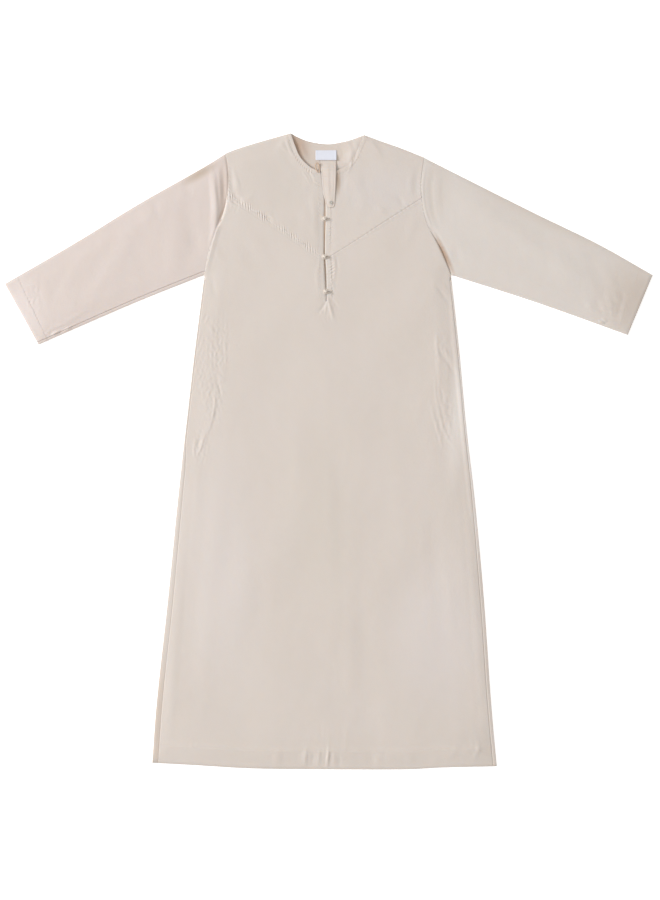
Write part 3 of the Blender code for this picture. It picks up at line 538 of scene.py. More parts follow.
class Strokes:
    """Short strokes that stitching draws up along a seam, in uneven clusters."""

    def __init__(
        self, line: Run, pitch: float, reach: float, rise: float, slant: float,
        clusters: tuple[tuple[float, float], ...], one_side: float = 0.0,
    ) -> None:
        """Keep the strokes' sizes.

        Args:
            line: the seam.
            pitch: the usual distance between strokes.
            reach: how far they run from the seam.
            rise: their height.
            slant: how far a stroke drifts along the seam for each millimetre away from it.
            clusters: the stretches that have strokes, as distances along the seam.
            one_side: 1 or -1 where they lie on one side of the seam only.
        """
        self.line = line
        self.pitch = pitch
        self.reach = reach
        self.rise = rise
        self.slant = slant
        self.clusters = clusters
        self.one_side = one_side

    def height(self, x: np.ndarray, y: np.ndarray) -> np.ndarray:
        """Return the strokes' height at each point."""
        close = self.line.close_to(x, y, self.reach)
        distance, along, side = self.line.near(x[close], y[close])
        shifted = along + self.slant * distance * side
        drift = 1.3 * np.sin(shifted / 17.0 + 0.6) + 0.8 * np.sin(shifted / 7.3 + 2.0)
        stroke = np.sin(math.tau * shifted / self.pitch + drift)
        unevenness = 0.7 + 0.3 * np.sin(shifted / 11.0 + 1.0) * np.sin(shifted / 31.0 + 0.4)
        reach = self.reach * (0.82 + 0.18 * np.sin(shifted / 5.1))
        presence = np.zeros(np.shape(along))
        for start, end in self.clusters:
            inside = np.minimum(along - start, end - along)
            presence = np.maximum(presence, ease(inside / (2.0 * self.pitch)))
        if self.one_side:
            presence = presence * (side == self.one_side)
        height = np.zeros(np.shape(x))
        height[close] = self.rise * stroke * unevenness * ease(1.0 - distance / reach) * presence
        return height


@dataclass(frozen=True)
class Groove:
    """The soft dip of cloth towards a seam or a line of stitches."""

    line: Run
    half_width: float
    depth: float

    def height(self, x: np.ndarray, y: np.ndarray) -> np.ndarray:
        """Return the groove's height, which is below zero, at each point."""
        close = self.line.close_to(x, y, self.half_width)
        height = np.zeros(np.shape(x))
        height[close] = -self.depth * ease(1.0 - self.line.near(x[close], y[close])[0] / self.half_width)
        return height


def offset_run(line: Run, distance: float, steps: int = 60) -> Run:
    """Return the line that runs beside another, on its left where the distance is above zero."""
    along = np.linspace(0.0, line.length, steps)
    ahead = line.ahead(np.clip(along, 1.5, line.length - 1.5))
    aside = np.stack([-ahead[:, 1], ahead[:, 0]], axis=-1)
    return Run(tuple(map(tuple, line.at(along) + aside * distance)), rounded=False)


def upright_run(edge: Callable[[np.ndarray], np.ndarray], low: float, high: float, steps: int = 60) -> Run:
    """Return the run of an edge that gives x at each y, from a low to a high level."""
    levels = np.linspace(low, high, steps)
    return Run(tuple(zip(edge(levels), levels)), rounded=False)


HEM_STITCH = Run(
    tuple((x, float(HEM_LINE.y_at(x)) + HEM_DEPTH) for x in np.linspace(-390.0, 376.0, 60)), rounded=False
)
SEAM_LEFT = upright_run(front_left, -720.0, WRAP_TOP)
SEAM_RIGHT = upright_run(front_right, -726.0, WRAP_TOP)
BAND_LEFT = upright_run(lambda y: SLIT_LEFT.x_at(y) - PLACKET, SLIT_FOOT, 646.0)
BAND_RIGHT = upright_run(lambda y: SLIT_RIGHT.x_at(y) + PLACKET, SLIT_FOOT, 643.0)
NECK_STITCH_LEFT = offset_run(NECK_LEFT, -9.0)
NECK_STITCH_RIGHT = offset_run(NECK_RIGHT, -9.0)
SLEEVE_SEAM_LEFT = Run(((-291, 414), (-446, 349), (-655, 255)))
CUFF_STITCH_LEFT = Run(((-716.0, 401.6), (-645.7, 254.2)))

SEAM_DIPS = (
    Groove(V_LEFT, 2.4, 0.12),
    Groove(V_RIGHT, 2.2, 0.35),
    Groove(HEM_STITCH, 2.6, 0.6),
    Groove(NECK_STITCH_LEFT, 1.8, 0.3),
    Groove(NECK_STITCH_RIGHT, 1.6, 0.2),
    Groove(SLIT_LEFT, 1.6, 0.5),
    Groove(SLIT_RIGHT, 1.6, 0.5),
)

# The V seam's left side is drawn up much more than its right side
SEAM_STROKES = (
    Strokes(
        V_LEFT, 6.7, 14.0, 0.9, 0.75,
        ((0.0, 34.0), (34.0, 82.0), (76.0, 126.0), (134.0, 202.0), (196.0, 262.0)),
    ),
    Strokes(V_LEFT, 4.9, 8.0, 0.4, 0.5, ((20.0, 272.0),), 1.0),
    Strokes(V_RIGHT, 13.0, 8.0, 0.35, 0.4, ((10.0, 250.0),)),
    Strokes(BAND_RIGHT, 8.0, 10.0, 0.9, 0.5, ((4.0, 95.0), (120.0, 180.0))),
    Strokes(BAND_LEFT, 9.0, 7.0, 0.45, -0.4, ((10.0, 90.0), (180.0, 290.0))),
    Strokes(NECK_STITCH_LEFT, 6.5, 7.0, 0.6, 0.3, ((6.0, 115.0),)),
    Strokes(NECK_STITCH_RIGHT, 8.0, 5.0, 0.25, 0.3, ((6.0, 115.0),)),
    Strokes(ARMHOLE_LEFT, 9.0, 8.0, 0.5, -0.7, ((10.0, 80.0), (110.0, 280.0))),
    Strokes(ARMHOLE_RIGHT, 10.0, 7.0, 0.4, 0.7, ((10.0, 270.0),)),
    Strokes(CUFF_STITCH_LEFT, 7.4, 5.0, 0.8, 0.2, ((2.0, 160.0),)),
    Strokes(SLEEVE_SEAM_LEFT, 14.0, 7.0, 0.4, 0.4, ((10.0, 400.0),)),
    Strokes(SEAM_LEFT, 11.0, 7.0, 0.25, -0.5, ((10.0, 1100.0),)),
    Strokes(SEAM_RIGHT, 12.0, 7.0, 0.2, 0.5, ((10.0, 1100.0),)),
    Strokes(HEM_STITCH, 17.0, 8.0, 0.3, 0.15, ((10.0, 760.0),)),
)


def raised(creases: Iterable[Crease], gain: float) -> tuple[Crease, ...]:
    """Return creases that rise more by a gain."""
    return tuple(replace(crease, rise=gain * crease.rise) for crease in creases)


class Relief:
    """How high the robe's upper layer lies, with every fold and crease in it."""

    def __init__(self, creases: Iterable[Crease | Crumple | Strokes | Groove]) -> None:
        """Keep the creases."""
        self.creases = tuple(creases)

    def undulation(self, x: np.ndarray, y: np.ndarray) -> np.ndarray:
        """Return the slight unevenness of pressed cloth that lies by itself."""
        swell = np.sin(x / 41.0 + 1.3 * np.sin(y / 97.0)) * np.sin(y / 73.0 + 0.8 * np.sin(x / 61.0))
        ripple = np.sin(x / 13.0 + 2.1 * np.sin(y / 37.0)) * np.sin(y / 29.0 + 1.7 * np.sin(x / 23.0))
        return 0.75 * swell + 0.12 * ripple

    def loft(self, x: np.ndarray, y: np.ndarray) -> np.ndarray:
        """Return how far the upper layer is lifted off the lower one."""
        lift = np.full(np.shape(x), LOFT)
        for crease in self.creases:
            lift = lift + crease.height(x, y)
        lift = lift + self.undulation(x, y)
        from_outline = OUTLINE.near(x, y)[0]
        by_neck = ease((y - NECK_LEVEL) / NECK_LEVEL_SLOPE) * ease((NECK_HALF - np.abs(x)) / NECK_HALF_SLOPE)
        rim = ease(from_outline / blend(LOFT_REACH, NECK_REACH, by_neck))
        return np.maximum(lift, LEAST_LOFT) * blend(RIM_LOFT * ease(from_outline / RIM_REACH), 1.0, rim)

    def top(self, x: np.ndarray, y: np.ndarray) -> np.ndarray:
        """Return the height of the upper layer's outer face."""
        return LAYERS + self.loft(x, y)


CRUMPLES = (
    Crumple((-256, 240), (48, 95), 0.52, 2.0, 0.5),
    Crumple((-266, 125), (46, 100), 0.46, 2.1, -0.3),
    Crumple((-294, 10), (30, 60), 0.5, 1.9, 0.3),
    Crumple((-296, 200), (20, 140), 0.6, 1.8, 0.2),
    Crumple((268, 230), (38, 90), 0.26, 2.4, -0.5),
    Crumple((268, 80), (42, 110), 0.28, 2.6, 0.4),
    Crumple((-4, 322), (46, 42), 0.22, 1.9, 0.9),
    Crumple((634, 326), (56, 50), 0.38, 2.6, 0.8),
    Crumple((-610, 284), (44, 24), 0.26, 2.2, 0.3),
    Crumple((-678, 360), (32, 62), 0.5, 2.2, 0.6),
    Crumple((-222, 568), (34, 30), 0.28, 2.0, 0.2),
    Crumple((-140, 534), (46, 30), 0.18, 2.4, 0.6),
    Crumple((0, -694), (340, 56), 0.15, 3.0, 1.2),
)

RELIEF = Relief(
    raised(
        MAIN_FOLDS + ARMHOLE_CREASES + LEFT_SLEEVE_CREASES + RIGHT_SLEEVE_CREASES + YOKE_CREASES
        + FRONT_CREASES + SKIRT_CREASES, CREASE_GAIN,
    )
    + raised(HEM_PUCKERS, HEM_GAIN * CREASE_GAIN) + CRUMPLES + SEAM_DIPS + SEAM_STROKES
)

# Troughs that lift the underside off the floor, like the creases above
UNDERSIDE_CREASES = (
    Crease(((-330, -80), (-372, -640)), 30, 0.8),
    Crease(((318, -60), (362, -660)), 26, 0.8),
    Crease(((60, -200), (90, -690)), 44, 0.7),
    Crease(((-150, -60), (-190, -600)), 40, 0.6),
    Crease(((200, 60), (230, -420)), 34, 0.6),
    Crease(((-90, 300), (-70, -40)), 36, 0.6),
    Crease(((60, 420), (40, 120)), 28, 0.6),
    Crease(((-200, 560), (-140, 420)), 24, 0.7),
    Crease(((190, 560), (120, 430)), 24, 0.7),
    Crease(((-120, 690), (-60, 600), (-20, 520)), 20, 0.6),
    Crease(((120, 680), (60, 600), (30, 540)), 20, 0.6),
    Crease(((-330, 560), (-300, 440)), 24, 0.8),
    Crease(((330, 560), (560, 420)), 26, 0.8),
    Crease(((-420, 520), (-600, 400)), 22, 0.7),
    Crease(((-640, 380), (-600, 300)), 14, 0.7),
    Crease(((640, 390), (620, 310)), 14, 0.7),
    Crease(((-262, 640), (-256, 520)), 9, 0.8),
    Crease(((236, 630), (250, 500)), 9, 0.8),
)

# Soft folds inside the back neck, seen through the neckline
NECK_FOLDS = (
    Crease(((-10, 640), (-9, 500), (-6, 350)), 20, 1.9, blunt=0.85),
    Crease(((44, 712), (52, 690), (50, 664), (56, 640)), 8, 1.5),
    Crease(((28, 706), (34, 684), (30, 660)), 7, -0.7),
    Crease(((60, 712), (66, 695)), 6, 1.0),
    Crease(((-64, 712), (-58, 690), (-48, 668)), 8, 1.0),
    Crease(((-76, 716), (-70, 700)), 5, -0.5),
    Crease(((-30, 700), (20, 699)), 4, 0.3),
    Crease(((72, 712), (62, 688), (46, 666), (26, 652)), 18, 1.3, blunt=0.8),
)


def underside(x: np.ndarray, y: np.ndarray) -> np.ndarray:
    """Return how far the underside is lifted off the floor."""
    lift = FLOOR_LIFT + FLOOR_WAVE * np.sin(x / 37.0 + 1.1 * np.sin(y / 83.0)) * np.sin(y / 67.0 + 0.7)
    for crease in UNDERSIDE_CREASES:
        lift = lift + crease.height(x, y)
    from_outline = OUTLINE.near(x, y)[0]
    return np.clip(lift, 0.0, FLOOR_LIFT_LIMIT) * ease(from_outline / FLOOR_REACH)


def back_inside(x: np.ndarray, y: np.ndarray) -> np.ndarray:
    """Return the height of the back's inner face."""
    lift = underside(x, y) + SHELL
    for fold in NECK_FOLDS:
        lift = lift + fold.height(x, y)
    return lift


class Wire:
    """A shader socket that takes part in plain expressions."""

    def __init__(self, tree: "Shader", socket: bpy.types.NodeSocket) -> None:
        """Keep the socket and the shader it belongs to."""
        self.tree = tree
        self.socket = socket

    def _math(self, operation: str, *values: object) -> "Wire":
        """Add one Math node and return its result."""
        return self.tree.node("ShaderNodeMath", {"operation": operation}, dict(enumerate(values)))

    def __add__(self, other: object) -> "Wire":
        """Return the sum."""
        return self._math("ADD", self, other)

    def __radd__(self, other: object) -> "Wire":
        """Return the sum."""
        return self._math("ADD", other, self)

    def __sub__(self, other: object) -> "Wire":
        """Return the difference."""
        return self._math("SUBTRACT", self, other)

    def __rsub__(self, other: object) -> "Wire":
        """Return the difference."""
        return self._math("SUBTRACT", other, self)

    def __mul__(self, other: object) -> "Wire":
        """Return the product."""
        return self._math("MULTIPLY", self, other)

    def __rmul__(self, other: object) -> "Wire":
        """Return the product."""
        return self._math("MULTIPLY", other, self)

    def wave(self) -> "Wire":
        """Return the sine."""
        return self._math("SINE", self)

    def held(self) -> "Wire":
        """Return the value held between 0 and 1."""
        return self.tree.node("ShaderNodeClamp", {}, {0: self})


@dataclass(frozen=True)
class Patch:
    """A broad soft patch of lighter or deeper colour laid on the cloth, in millimetres; many of them are
    painted shade, shadow or light.
    """

    centre: tuple[float, float]
    reach: tuple[float, float]
    colour: tuple[float, float, float]
    strength: float
    turn: float = 0.0
    only_inside: bool = False


class Shader:
    """One material's node tree."""

    def __init__(self, name: str) -> None:
        """Start a material with a bare Principled shader."""
        self.material = bpy.data.materials.new(name)
        self.material.use_nodes = True
        self.tree = self.material.node_tree
        self.principled = self.tree.nodes["Principled BSDF"]

    def node(self, kind: str, settings: dict, inputs: dict, output: int = 0) -> Wire:
        """Add a node.

        Args:
            kind: the node's type.
            settings: its properties, or a ramp's stops under "stops".
            inputs: values or wires by socket name or number.
            output: the number of the output to return.

        Returns:
            The chosen output.
        """
        node = self.tree.nodes.new(kind)
        for key, value in settings.items():
            if key == "stops":
                for place, (position, colour) in enumerate(value):
                    stops = node.color_ramp.elements
                    stop = stops[place] if place < 2 else stops.new(position)
                    stop.position = position
                    stop.color = colour
            else:
                setattr(node, key, value)
        for key, value in inputs.items():
            self.feed(node.inputs[key], value)
        return Wire(self, node.outputs[output])

    def feed(self, socket: bpy.types.NodeSocket, value: object) -> None:
        """Link a wire to a socket, or set the socket's own value."""
        if isinstance(value, Wire):
            self.tree.links.new(value.socket, socket)
        else:
            socket.default_value = value

    def set(self, **inputs: object) -> None:
        """Set or link the Principled shader's sockets, named with underscores for spaces."""
        for key, value in inputs.items():
            self.feed(self.principled.inputs[key.replace("_", " ")], value)

    def place(self, scale: float) -> Wire:
        """Return the object's own coordinates, in units of a given length in metres."""
        spot = self.node("ShaderNodeTexCoord", {}, {}, output=3)
        return self.node("ShaderNodeVectorMath", {"operation": "SCALE"}, {0: spot, "Scale": 1.0 / scale})

    def noise(self, scale: float, detail: float = 2.0, roughness: float = 0.5) -> Wire:
        """Return a soft noise from 0 to 1 whose features have a given size in metres."""
        inputs = {"Vector": self.place(scale), "Scale": 1.0, "Detail": detail, "Roughness": roughness}
        return self.node("ShaderNodeTexNoise", {}, inputs)

    def bump(self, strength: float, distance: float, height: Wire, under: Optional[Wire] = None) -> Wire:
        """Return a normal that a height bumps, over another normal where one is given."""
        inputs = {"Strength": strength, "Distance": distance, "Height": height}
        if under is not None:
            inputs["Normal"] = under
        return self.node("ShaderNodeBump", {}, inputs)

    def axes(self, scale: float) -> tuple[Wire, Wire, Wire]:
        """Return the object's three coordinates, in units of a given length in metres."""
        apart = self.node("ShaderNodeSeparateXYZ", {}, {0: self.place(scale)})
        node = apart.socket.node
        return tuple(Wire(self, node.outputs[index]) for index in range(3))

    def tint(self, low: object, high: tuple, share: object) -> Wire:
        """Return a colour between two, by a share."""
        inputs = {"Factor": share, 6: low if isinstance(low, Wire) else (*low, 1.0), 7: (*high, 1.0)}
        return self.node("ShaderNodeMix", {"data_type": "RGBA"}, inputs, output=2)

    def patched(self, colour: Wire, patch: Patch) -> Wire:
        """Return a colour with one soft patch laid over it."""
        x, y, _ = self.axes(MM)
        away_x = x - patch.centre[0]
        away_y = y - patch.centre[1]
        along = (away_x * math.cos(patch.turn) + away_y * math.sin(patch.turn)) * (1.0 / patch.reach[0])
        across = (away_y * math.cos(patch.turn) - away_x * math.sin(patch.turn)) * (1.0 / patch.reach[1])
        near = (1.0 - along * along - across * across).held()
        share = near * near * patch.strength
        if patch.only_inside:
            normal = self.node("ShaderNodeTexCoord", {}, {}, output=1)
            share = share * self.node("ShaderNodeSeparateXYZ", {}, {0: normal}, output=2).held()
        return self.tint(colour, patch.colour, share)


class Grain(Enum):
    """Which way the weave's threads run on a piece."""

    STRAIGHT = 0.0
    LEFT_SLEEVE = math.radians(30.0)
    RIGHT_SLEEVE = math.radians(-27.0)


@dataclass(frozen=True)
class CottonFinish:
    """Smooth pressed cotton with a fine plain weave and a faint satin sheen."""

    name: str
    light: tuple[float, float, float]
    deep: tuple[float, float, float]
    grain: Grain = Grain.STRAIGHT
    roughness: float = 0.62
    thread: float = 0.00042
    weave_depth: float = 0.10
    crumple_depth: float = 0.25
    patches: tuple[Patch, ...] = ()

    def material(self) -> bpy.types.Material:
        """Return the finish as a material."""
        shader = Shader(self.name)
        x, y, _ = shader.axes(self.thread / math.tau * 2.0)
        turn = self.grain.value
        warp = (x * math.cos(turn) + y * math.sin(turn)).wave()
        weft = (y * math.cos(turn) - x * math.sin(turn)).wave()
        weave = warp * weft
        slub = shader.noise(0.011, 3.0, 0.6)
        cloud = shader.noise(0.16, 3.0, 0.55)
        press = shader.noise(0.028, 4.0, 0.6)
        shade = cloud * 0.62 + slub * 0.16 + press * 0.16 + weave * 0.03
        colour = shader.tint(self.deep, self.light, shade)
        for patch in self.patches:
            colour = shader.patched(colour, patch)
        fine = shader.bump(self.weave_depth, 0.00012, weave * 0.5 + slub * 0.5)
        soft = shader.bump(self.crumple_depth, 0.0011, press, fine)
        shader.set(
            Base_Color=colour,
            Roughness=press * 0.14 + (self.roughness - 0.07),
            Normal=soft,
            Sheen_Weight=0.22,
            Sheen_Roughness=0.45,
            Sheen_Tint=(1.0, 0.97, 0.93, 1.0),
            Specular_IOR_Level=0.28,
            Subsurface_Weight=0.22,
            Subsurface_Radius=(1.0, 0.72, 0.5),
            Subsurface_Scale=0.0016,
        )
        return shader.material


@dataclass(frozen=True)
class ThreadFinish:
    """Twisted sewing thread or corded cloth."""

    name: str
    light: tuple[float, float, float]
    deep: tuple[float, float, float]
    twist: float = 0.0011

    def material(self) -> bpy.types.Material:
        """Return the finish as a material."""
        shader = Shader(self.name)
        x, y, z = shader.axes(self.twist / math.tau)
        strand = (x + y + z * 1.6).wave() * 0.5 + 0.5
        fibre = shader.noise(0.0006, 2.0)
        colour = shader.tint(self.deep, self.light, strand * 0.6 + fibre * 0.4)
        bump = shader.bump(0.45, 0.0002, strand * 0.8 + fibre * 0.2)
        shader.set(Base_Color=colour, Roughness=fibre * 0.1 + 0.62, Normal=bump, Sheen_Weight=0.2)
        return shader.material


@dataclass(frozen=True)
class LabelFinish:
    """Woven satin label tape, with nothing on it but its own selvedge."""

    name: str
    light: tuple[float, float, float]
    deep: tuple[float, float, float]

    def material(self) -> bpy.types.Material:
        """Return the finish as a material."""
        shader = Shader(self.name)
        x, y, _ = shader.axes(0.0005 / math.tau)
        rib = y.wave() * 0.5 + 0.5
        weave = x.wave() * rib
        cloud = shader.noise(0.012, 2.0)
        colour = shader.tint(self.deep, self.light, cloud * 0.7 + rib * 0.15 + weave * 0.15)
        bump = shader.bump(0.3, 0.0001, rib * 0.6 + weave * 0.4)
        shader.set(Base_Color=colour, Roughness=cloud * 0.1 + 0.4, Normal=bump, Sheen_Weight=0.15)
        return shader.material


@dataclass(frozen=True)
class ShellFinish:
    """Small polished button of pale shell."""

    name: str
    light: tuple[float, float, float]
    deep: tuple[float, float, float]

    def material(self) -> bpy.types.Material:
        """Return the finish as a material."""
        shader = Shader(self.name)
        cloud = shader.noise(0.003, 3.0, 0.6)
        shader.set(
            Base_Color=shader.tint(self.deep, self.light, cloud),
            Roughness=cloud * 0.15 + 0.22,
            Coat_Weight=0.3,
        )
        return shader.material


@dataclass(frozen=True)
class FloorFinish:
    """Plain white floor."""

    name: str = "studio_floor"

    def material(self) -> bpy.types.Material:
        """Return the finish as a material."""
        shader = Shader(self.name)
        cloud = shader.noise(0.5, 1.0)
        shader.set(
            Base_Color=shader.tint((0.93, 0.93, 0.93), (0.96, 0.96, 0.96), cloud),
            Roughness=0.9,
            Emission_Color=(1.0, 1.0, 1.0, 1.0),
            Emission_Strength=0.42,
        )
        return shader.material


BODY_LIGHT = (0.680, 0.616, 0.578)
BODY_DEEP = (0.640, 0.574, 0.514)
BODY_COTTON = CottonFinish("body_cotton", BODY_LIGHT, BODY_DEEP, patches=(
    # Painted highlight: a pale band down the right side of the front and over the right pocket, where the
    # cloth faces the light
    Patch((302, 120), (34, 260), (0.780, 0.724, 0.685), 0.8, turn=-0.1),
    Patch((130, 600), (150, 90), (0.664, 0.612, 0.588), 0.7),
    Patch((-110, 620), (120, 90), (0.640, 0.582, 0.530), 0.5),
    Patch((250, -420), (150, 260), (0.690, 0.630, 0.604), 0.7),
    Patch((-250, -260), (130, 420), (0.700, 0.638, 0.606), 0.7),
    Patch((-10, -150), (130, 320), (0.640, 0.580, 0.520), 0.6),
    # Painted shade: the right corner of the foot hem is darker
    Patch((360, -690), (110, 90), (0.600, 0.540, 0.490), 0.6),
    Patch((0, -700), (380, 70), (0.640, 0.574, 0.520), 0.6),
    # Painted shadow: warm brown shade in the gap where the body's edge meets the right sleeve at the underarm
    Patch((264, 453), (6, 62), (0.430, 0.300, 0.210), 0.85, turn=0.44),
    # Painted shadow: warm brown shade beside the neck tab's lifted right edge
    Patch((21, 622), (9, 46), (0.440, 0.330, 0.240), 0.8),
)).material()
BACK_COTTON = CottonFinish("back_cotton", BODY_LIGHT, BODY_DEEP, patches=(
    # Painted shade: the inside of the back neck is browner towards its left, on up-facing faces only
    Patch((-40, 670), (100, 80), (0.600, 0.530, 0.470), 0.6, only_inside=True),
    # Painted shadow: deep brown shade on the back's inner face just inside the left neckline
    Patch((-80, 696), (48, 60), (0.470, 0.340, 0.250), 0.95, only_inside=True),
    # Painted shade: warm brown on the back's inner face where it shows through the opening
    Patch((-9, 490), (40, 190), (0.540, 0.390, 0.280), 0.95, only_inside=True),
    Patch((-398, -560), (40, 420), (0.590, 0.500, 0.430), 0.8, turn=0.05),
    # Painted highlight: the right side's strip is paler on its upper face
    Patch((322, 40), (34, 420), (0.800, 0.740, 0.700), 0.9, turn=0.09, only_inside=True),
)).material()
SLEEVE_COTTON_LEFT = CottonFinish(
    "sleeve_cotton_left", (0.700, 0.616, 0.583), (0.660, 0.578, 0.532), Grain.LEFT_SLEEVE, patches=(
        # Painted light: the left cuff is paler, as the light falls off from left to right
        Patch((-710, 320), (70, 110), (0.760, 0.680, 0.650), 0.8),
        # Painted shade: a darker band on the sleeve beside the left armhole
        Patch((-238, 596), (26, 110), (0.550, 0.455, 0.395), 0.75),
        # Painted shadow: a brown wedge where the sleeve sinks under the body's edge at the left underarm
        Patch((-241, 546), (12, 34), (0.420, 0.300, 0.215), 0.85, turn=-0.4),
        # Painted shade: a brown band below the left shoulder fold
        Patch((-296, 638), (62, 17), (0.520, 0.425, 0.345), 0.85, turn=0.53),
    )
).material()
SLEEVE_COTTON_RIGHT = CottonFinish(
    "sleeve_cotton_right", (0.706, 0.656, 0.620), (0.662, 0.604, 0.556), Grain.RIGHT_SLEEVE, patches=(
        # Painted shade: the right cuff is darker and browner, as the light falls off from left to right
        Patch((700, 350), (120, 130), (0.590, 0.515, 0.455), 0.8),
        # Painted shade: a darker band along the right sleeve's top edge, where the cloth turns away from the
        # light
        Patch((470, 556), (330, 34), (0.610, 0.540, 0.480), 0.7, turn=-0.474),
        # Painted shade: the right sleeve's head by the armhole is darker
        Patch((246, 600), (50, 120), (0.620, 0.560, 0.510), 0.7),
        # Painted shadow: warm brown shade in the gap under the body's edge at the right underarm
        Patch((265, 453), (11, 70), (0.400, 0.265, 0.175), 0.9, turn=0.44),
    )
).material()
TAB_COTTON = CottonFinish("tab_cotton", (0.694, 0.620, 0.576), (0.652, 0.576, 0.512)).material()
POCKET_COTTON = CottonFinish("pocket_cotton", (0.72, 0.66, 0.59), (0.66, 0.60, 0.53)).material()
SEWING_THREAD = ThreadFinish("sewing_thread", (0.71, 0.63, 0.56), (0.58, 0.50, 0.43)).material()
TAN_CORD = ThreadFinish("tan_cord", (0.66, 0.50, 0.38), (0.52, 0.38, 0.27), 0.0016).material()
KNOT_CORD = ThreadFinish("knot_cord", (0.84, 0.78, 0.71), (0.70, 0.62, 0.54), 0.0016).material()
LABEL_TAPE = LabelFinish("label_tape", (0.77, 0.79, 0.86), (0.68, 0.70, 0.79)).material()
BUTTON_SHELL = ShellFinish("button_shell", (0.60, 0.57, 0.51), (0.34, 0.32, 0.28)).material()


def finished(piece: bpy.types.Object, material: bpy.types.Material) -> bpy.types.Object:
    """Give a piece its material, smooth shading, body and slot.

    Args:
        piece: the piece.
        material: its material.

    Returns:
        The same piece.
    """
    piece.data.materials.clear()
    piece.data.materials.append(material)
    piece.data.shade_smooth()
    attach(piece, "root")
    LOG.info("%s: %d faces", piece.name, len(piece.data.polygons))
    return piece


def wall(
    name: str, outer: np.ndarray, inner: np.ndarray, cloth: Optional[np.ndarray] = None, ring: bool = False
) -> bpy.types.Object:
    """Make a closed shell between two grids of points.

    Args:
        name: the piece's name.
        outer: the outer face's points, as rows by columns by three, in millimetres.
        inner: the inner face's points, with the same shape.
        cloth: which cells are there, as rows by columns. All are where it isn't given.
        ring: whether the last column joins the first.

    Returns:
        The new object.
    """
    rows, columns = outer.shape[:2]
    cells = columns if ring else columns - 1
    if cloth is None:
        cloth = np.ones((rows - 1, cells), bool)
    number = np.arange(rows * columns).reshape(rows, columns)
    numbers = np.hstack([number, number[:, :1]]) if ring else number
    shift = rows * columns
    low_left = numbers[:-1, :-1]
    low_right = numbers[:-1, 1:]
    high_right = numbers[1:, 1:]
    high_left = numbers[1:, :-1]
    quads = [
        np.stack([low_left, low_right, high_right, high_left], -1)[cloth],
        np.stack([high_left, high_right, low_right, low_left], -1)[cloth] + shift,
    ]
    beside = np.zeros((rows + 1, cells + 2), bool)
    beside[1:-1, 1:-1] = cloth
    if ring:
        beside[:, 0] = beside[:, -2]
        beside[:, -1] = beside[:, 1]
    borders = (
        (beside[:-2, 1:-1], low_right, low_left),
        (beside[2:, 1:-1], high_left, high_right),
        (beside[1:-1, :-2], low_left, high_left),
        (beside[1:-1, 2:], high_right, low_right),
    )
    for neighbour, start, end in borders:
        open_side = cloth & ~neighbour
        quads.append(np.stack([start, end, end + shift, start + shift], -1)[open_side])
    faces = np.vstack(quads)
    points = np.vstack([outer.reshape(-1, 3), inner.reshape(-1, 3)]) * MM
    used, faces = np.unique(faces, return_inverse=True)
    mesh = bpy.data.meshes.new(name)
    mesh.from_pydata(points[used].tolist(), [], faces.reshape(-1, 4).tolist())
    maker = bmesh.new()
    maker.from_mesh(mesh)
    bmesh.ops.recalc_face_normals(maker, faces=maker.faces)
    maker.to_mesh(mesh)
    maker.free()
    piece = bpy.data.objects.new(name, mesh)
    bpy.context.scene.collection.objects.link(piece)
    return piece


def crossings(
    columns: Surface, levels: Surface, across: np.ndarray, upwards: np.ndarray
) -> tuple[np.ndarray, np.ndarray]:
    """Find where each column line crosses each level line.

    Args:
        columns: gives x from the column's number and y.
        levels: gives y from the level's number and x.
        across: the columns' numbers.
        upwards: the levels' numbers.

    Returns:
        The grids of x and y.
    """
    column, level = np.meshgrid(across, upwards)
    x = columns(column, np.zeros_like(column))
    y = levels(level, x)
    for _ in range(SETTLING_PASSES):
        x = columns(column, y)
        y = levels(level, x)
    return x, y


def spread(stops: Sequence[tuple[float, int]], start: float = 0.0) -> np.ndarray:
    """Return numbers from start through each stop, with a given count of steps up to it."""
    numbers = [start]
    for stop, count in stops:
        numbers += list(np.linspace(numbers[-1], stop, count + 1)[1:])
    return np.array(numbers)


def stacked(x: np.ndarray, y: np.ndarray, z: np.ndarray) -> np.ndarray:
    """Return three grids as one grid of points."""
    return np.stack([x, y, z], -1)


def flat_area(x: np.ndarray, y: np.ndarray) -> float:
    """Return a grid's area from above, in square metres."""
    across_x = x[1:, 1:] - x[:-1, :-1]
    across_y = y[1:, 1:] - y[:-1, :-1]
    other_x = x[1:, :-1] - x[:-1, 1:]
    other_y = y[1:, :-1] - y[:-1, 1:]
    return float(np.abs(across_x * other_y - across_y * other_x).sum() / 2.0) * MM * MM


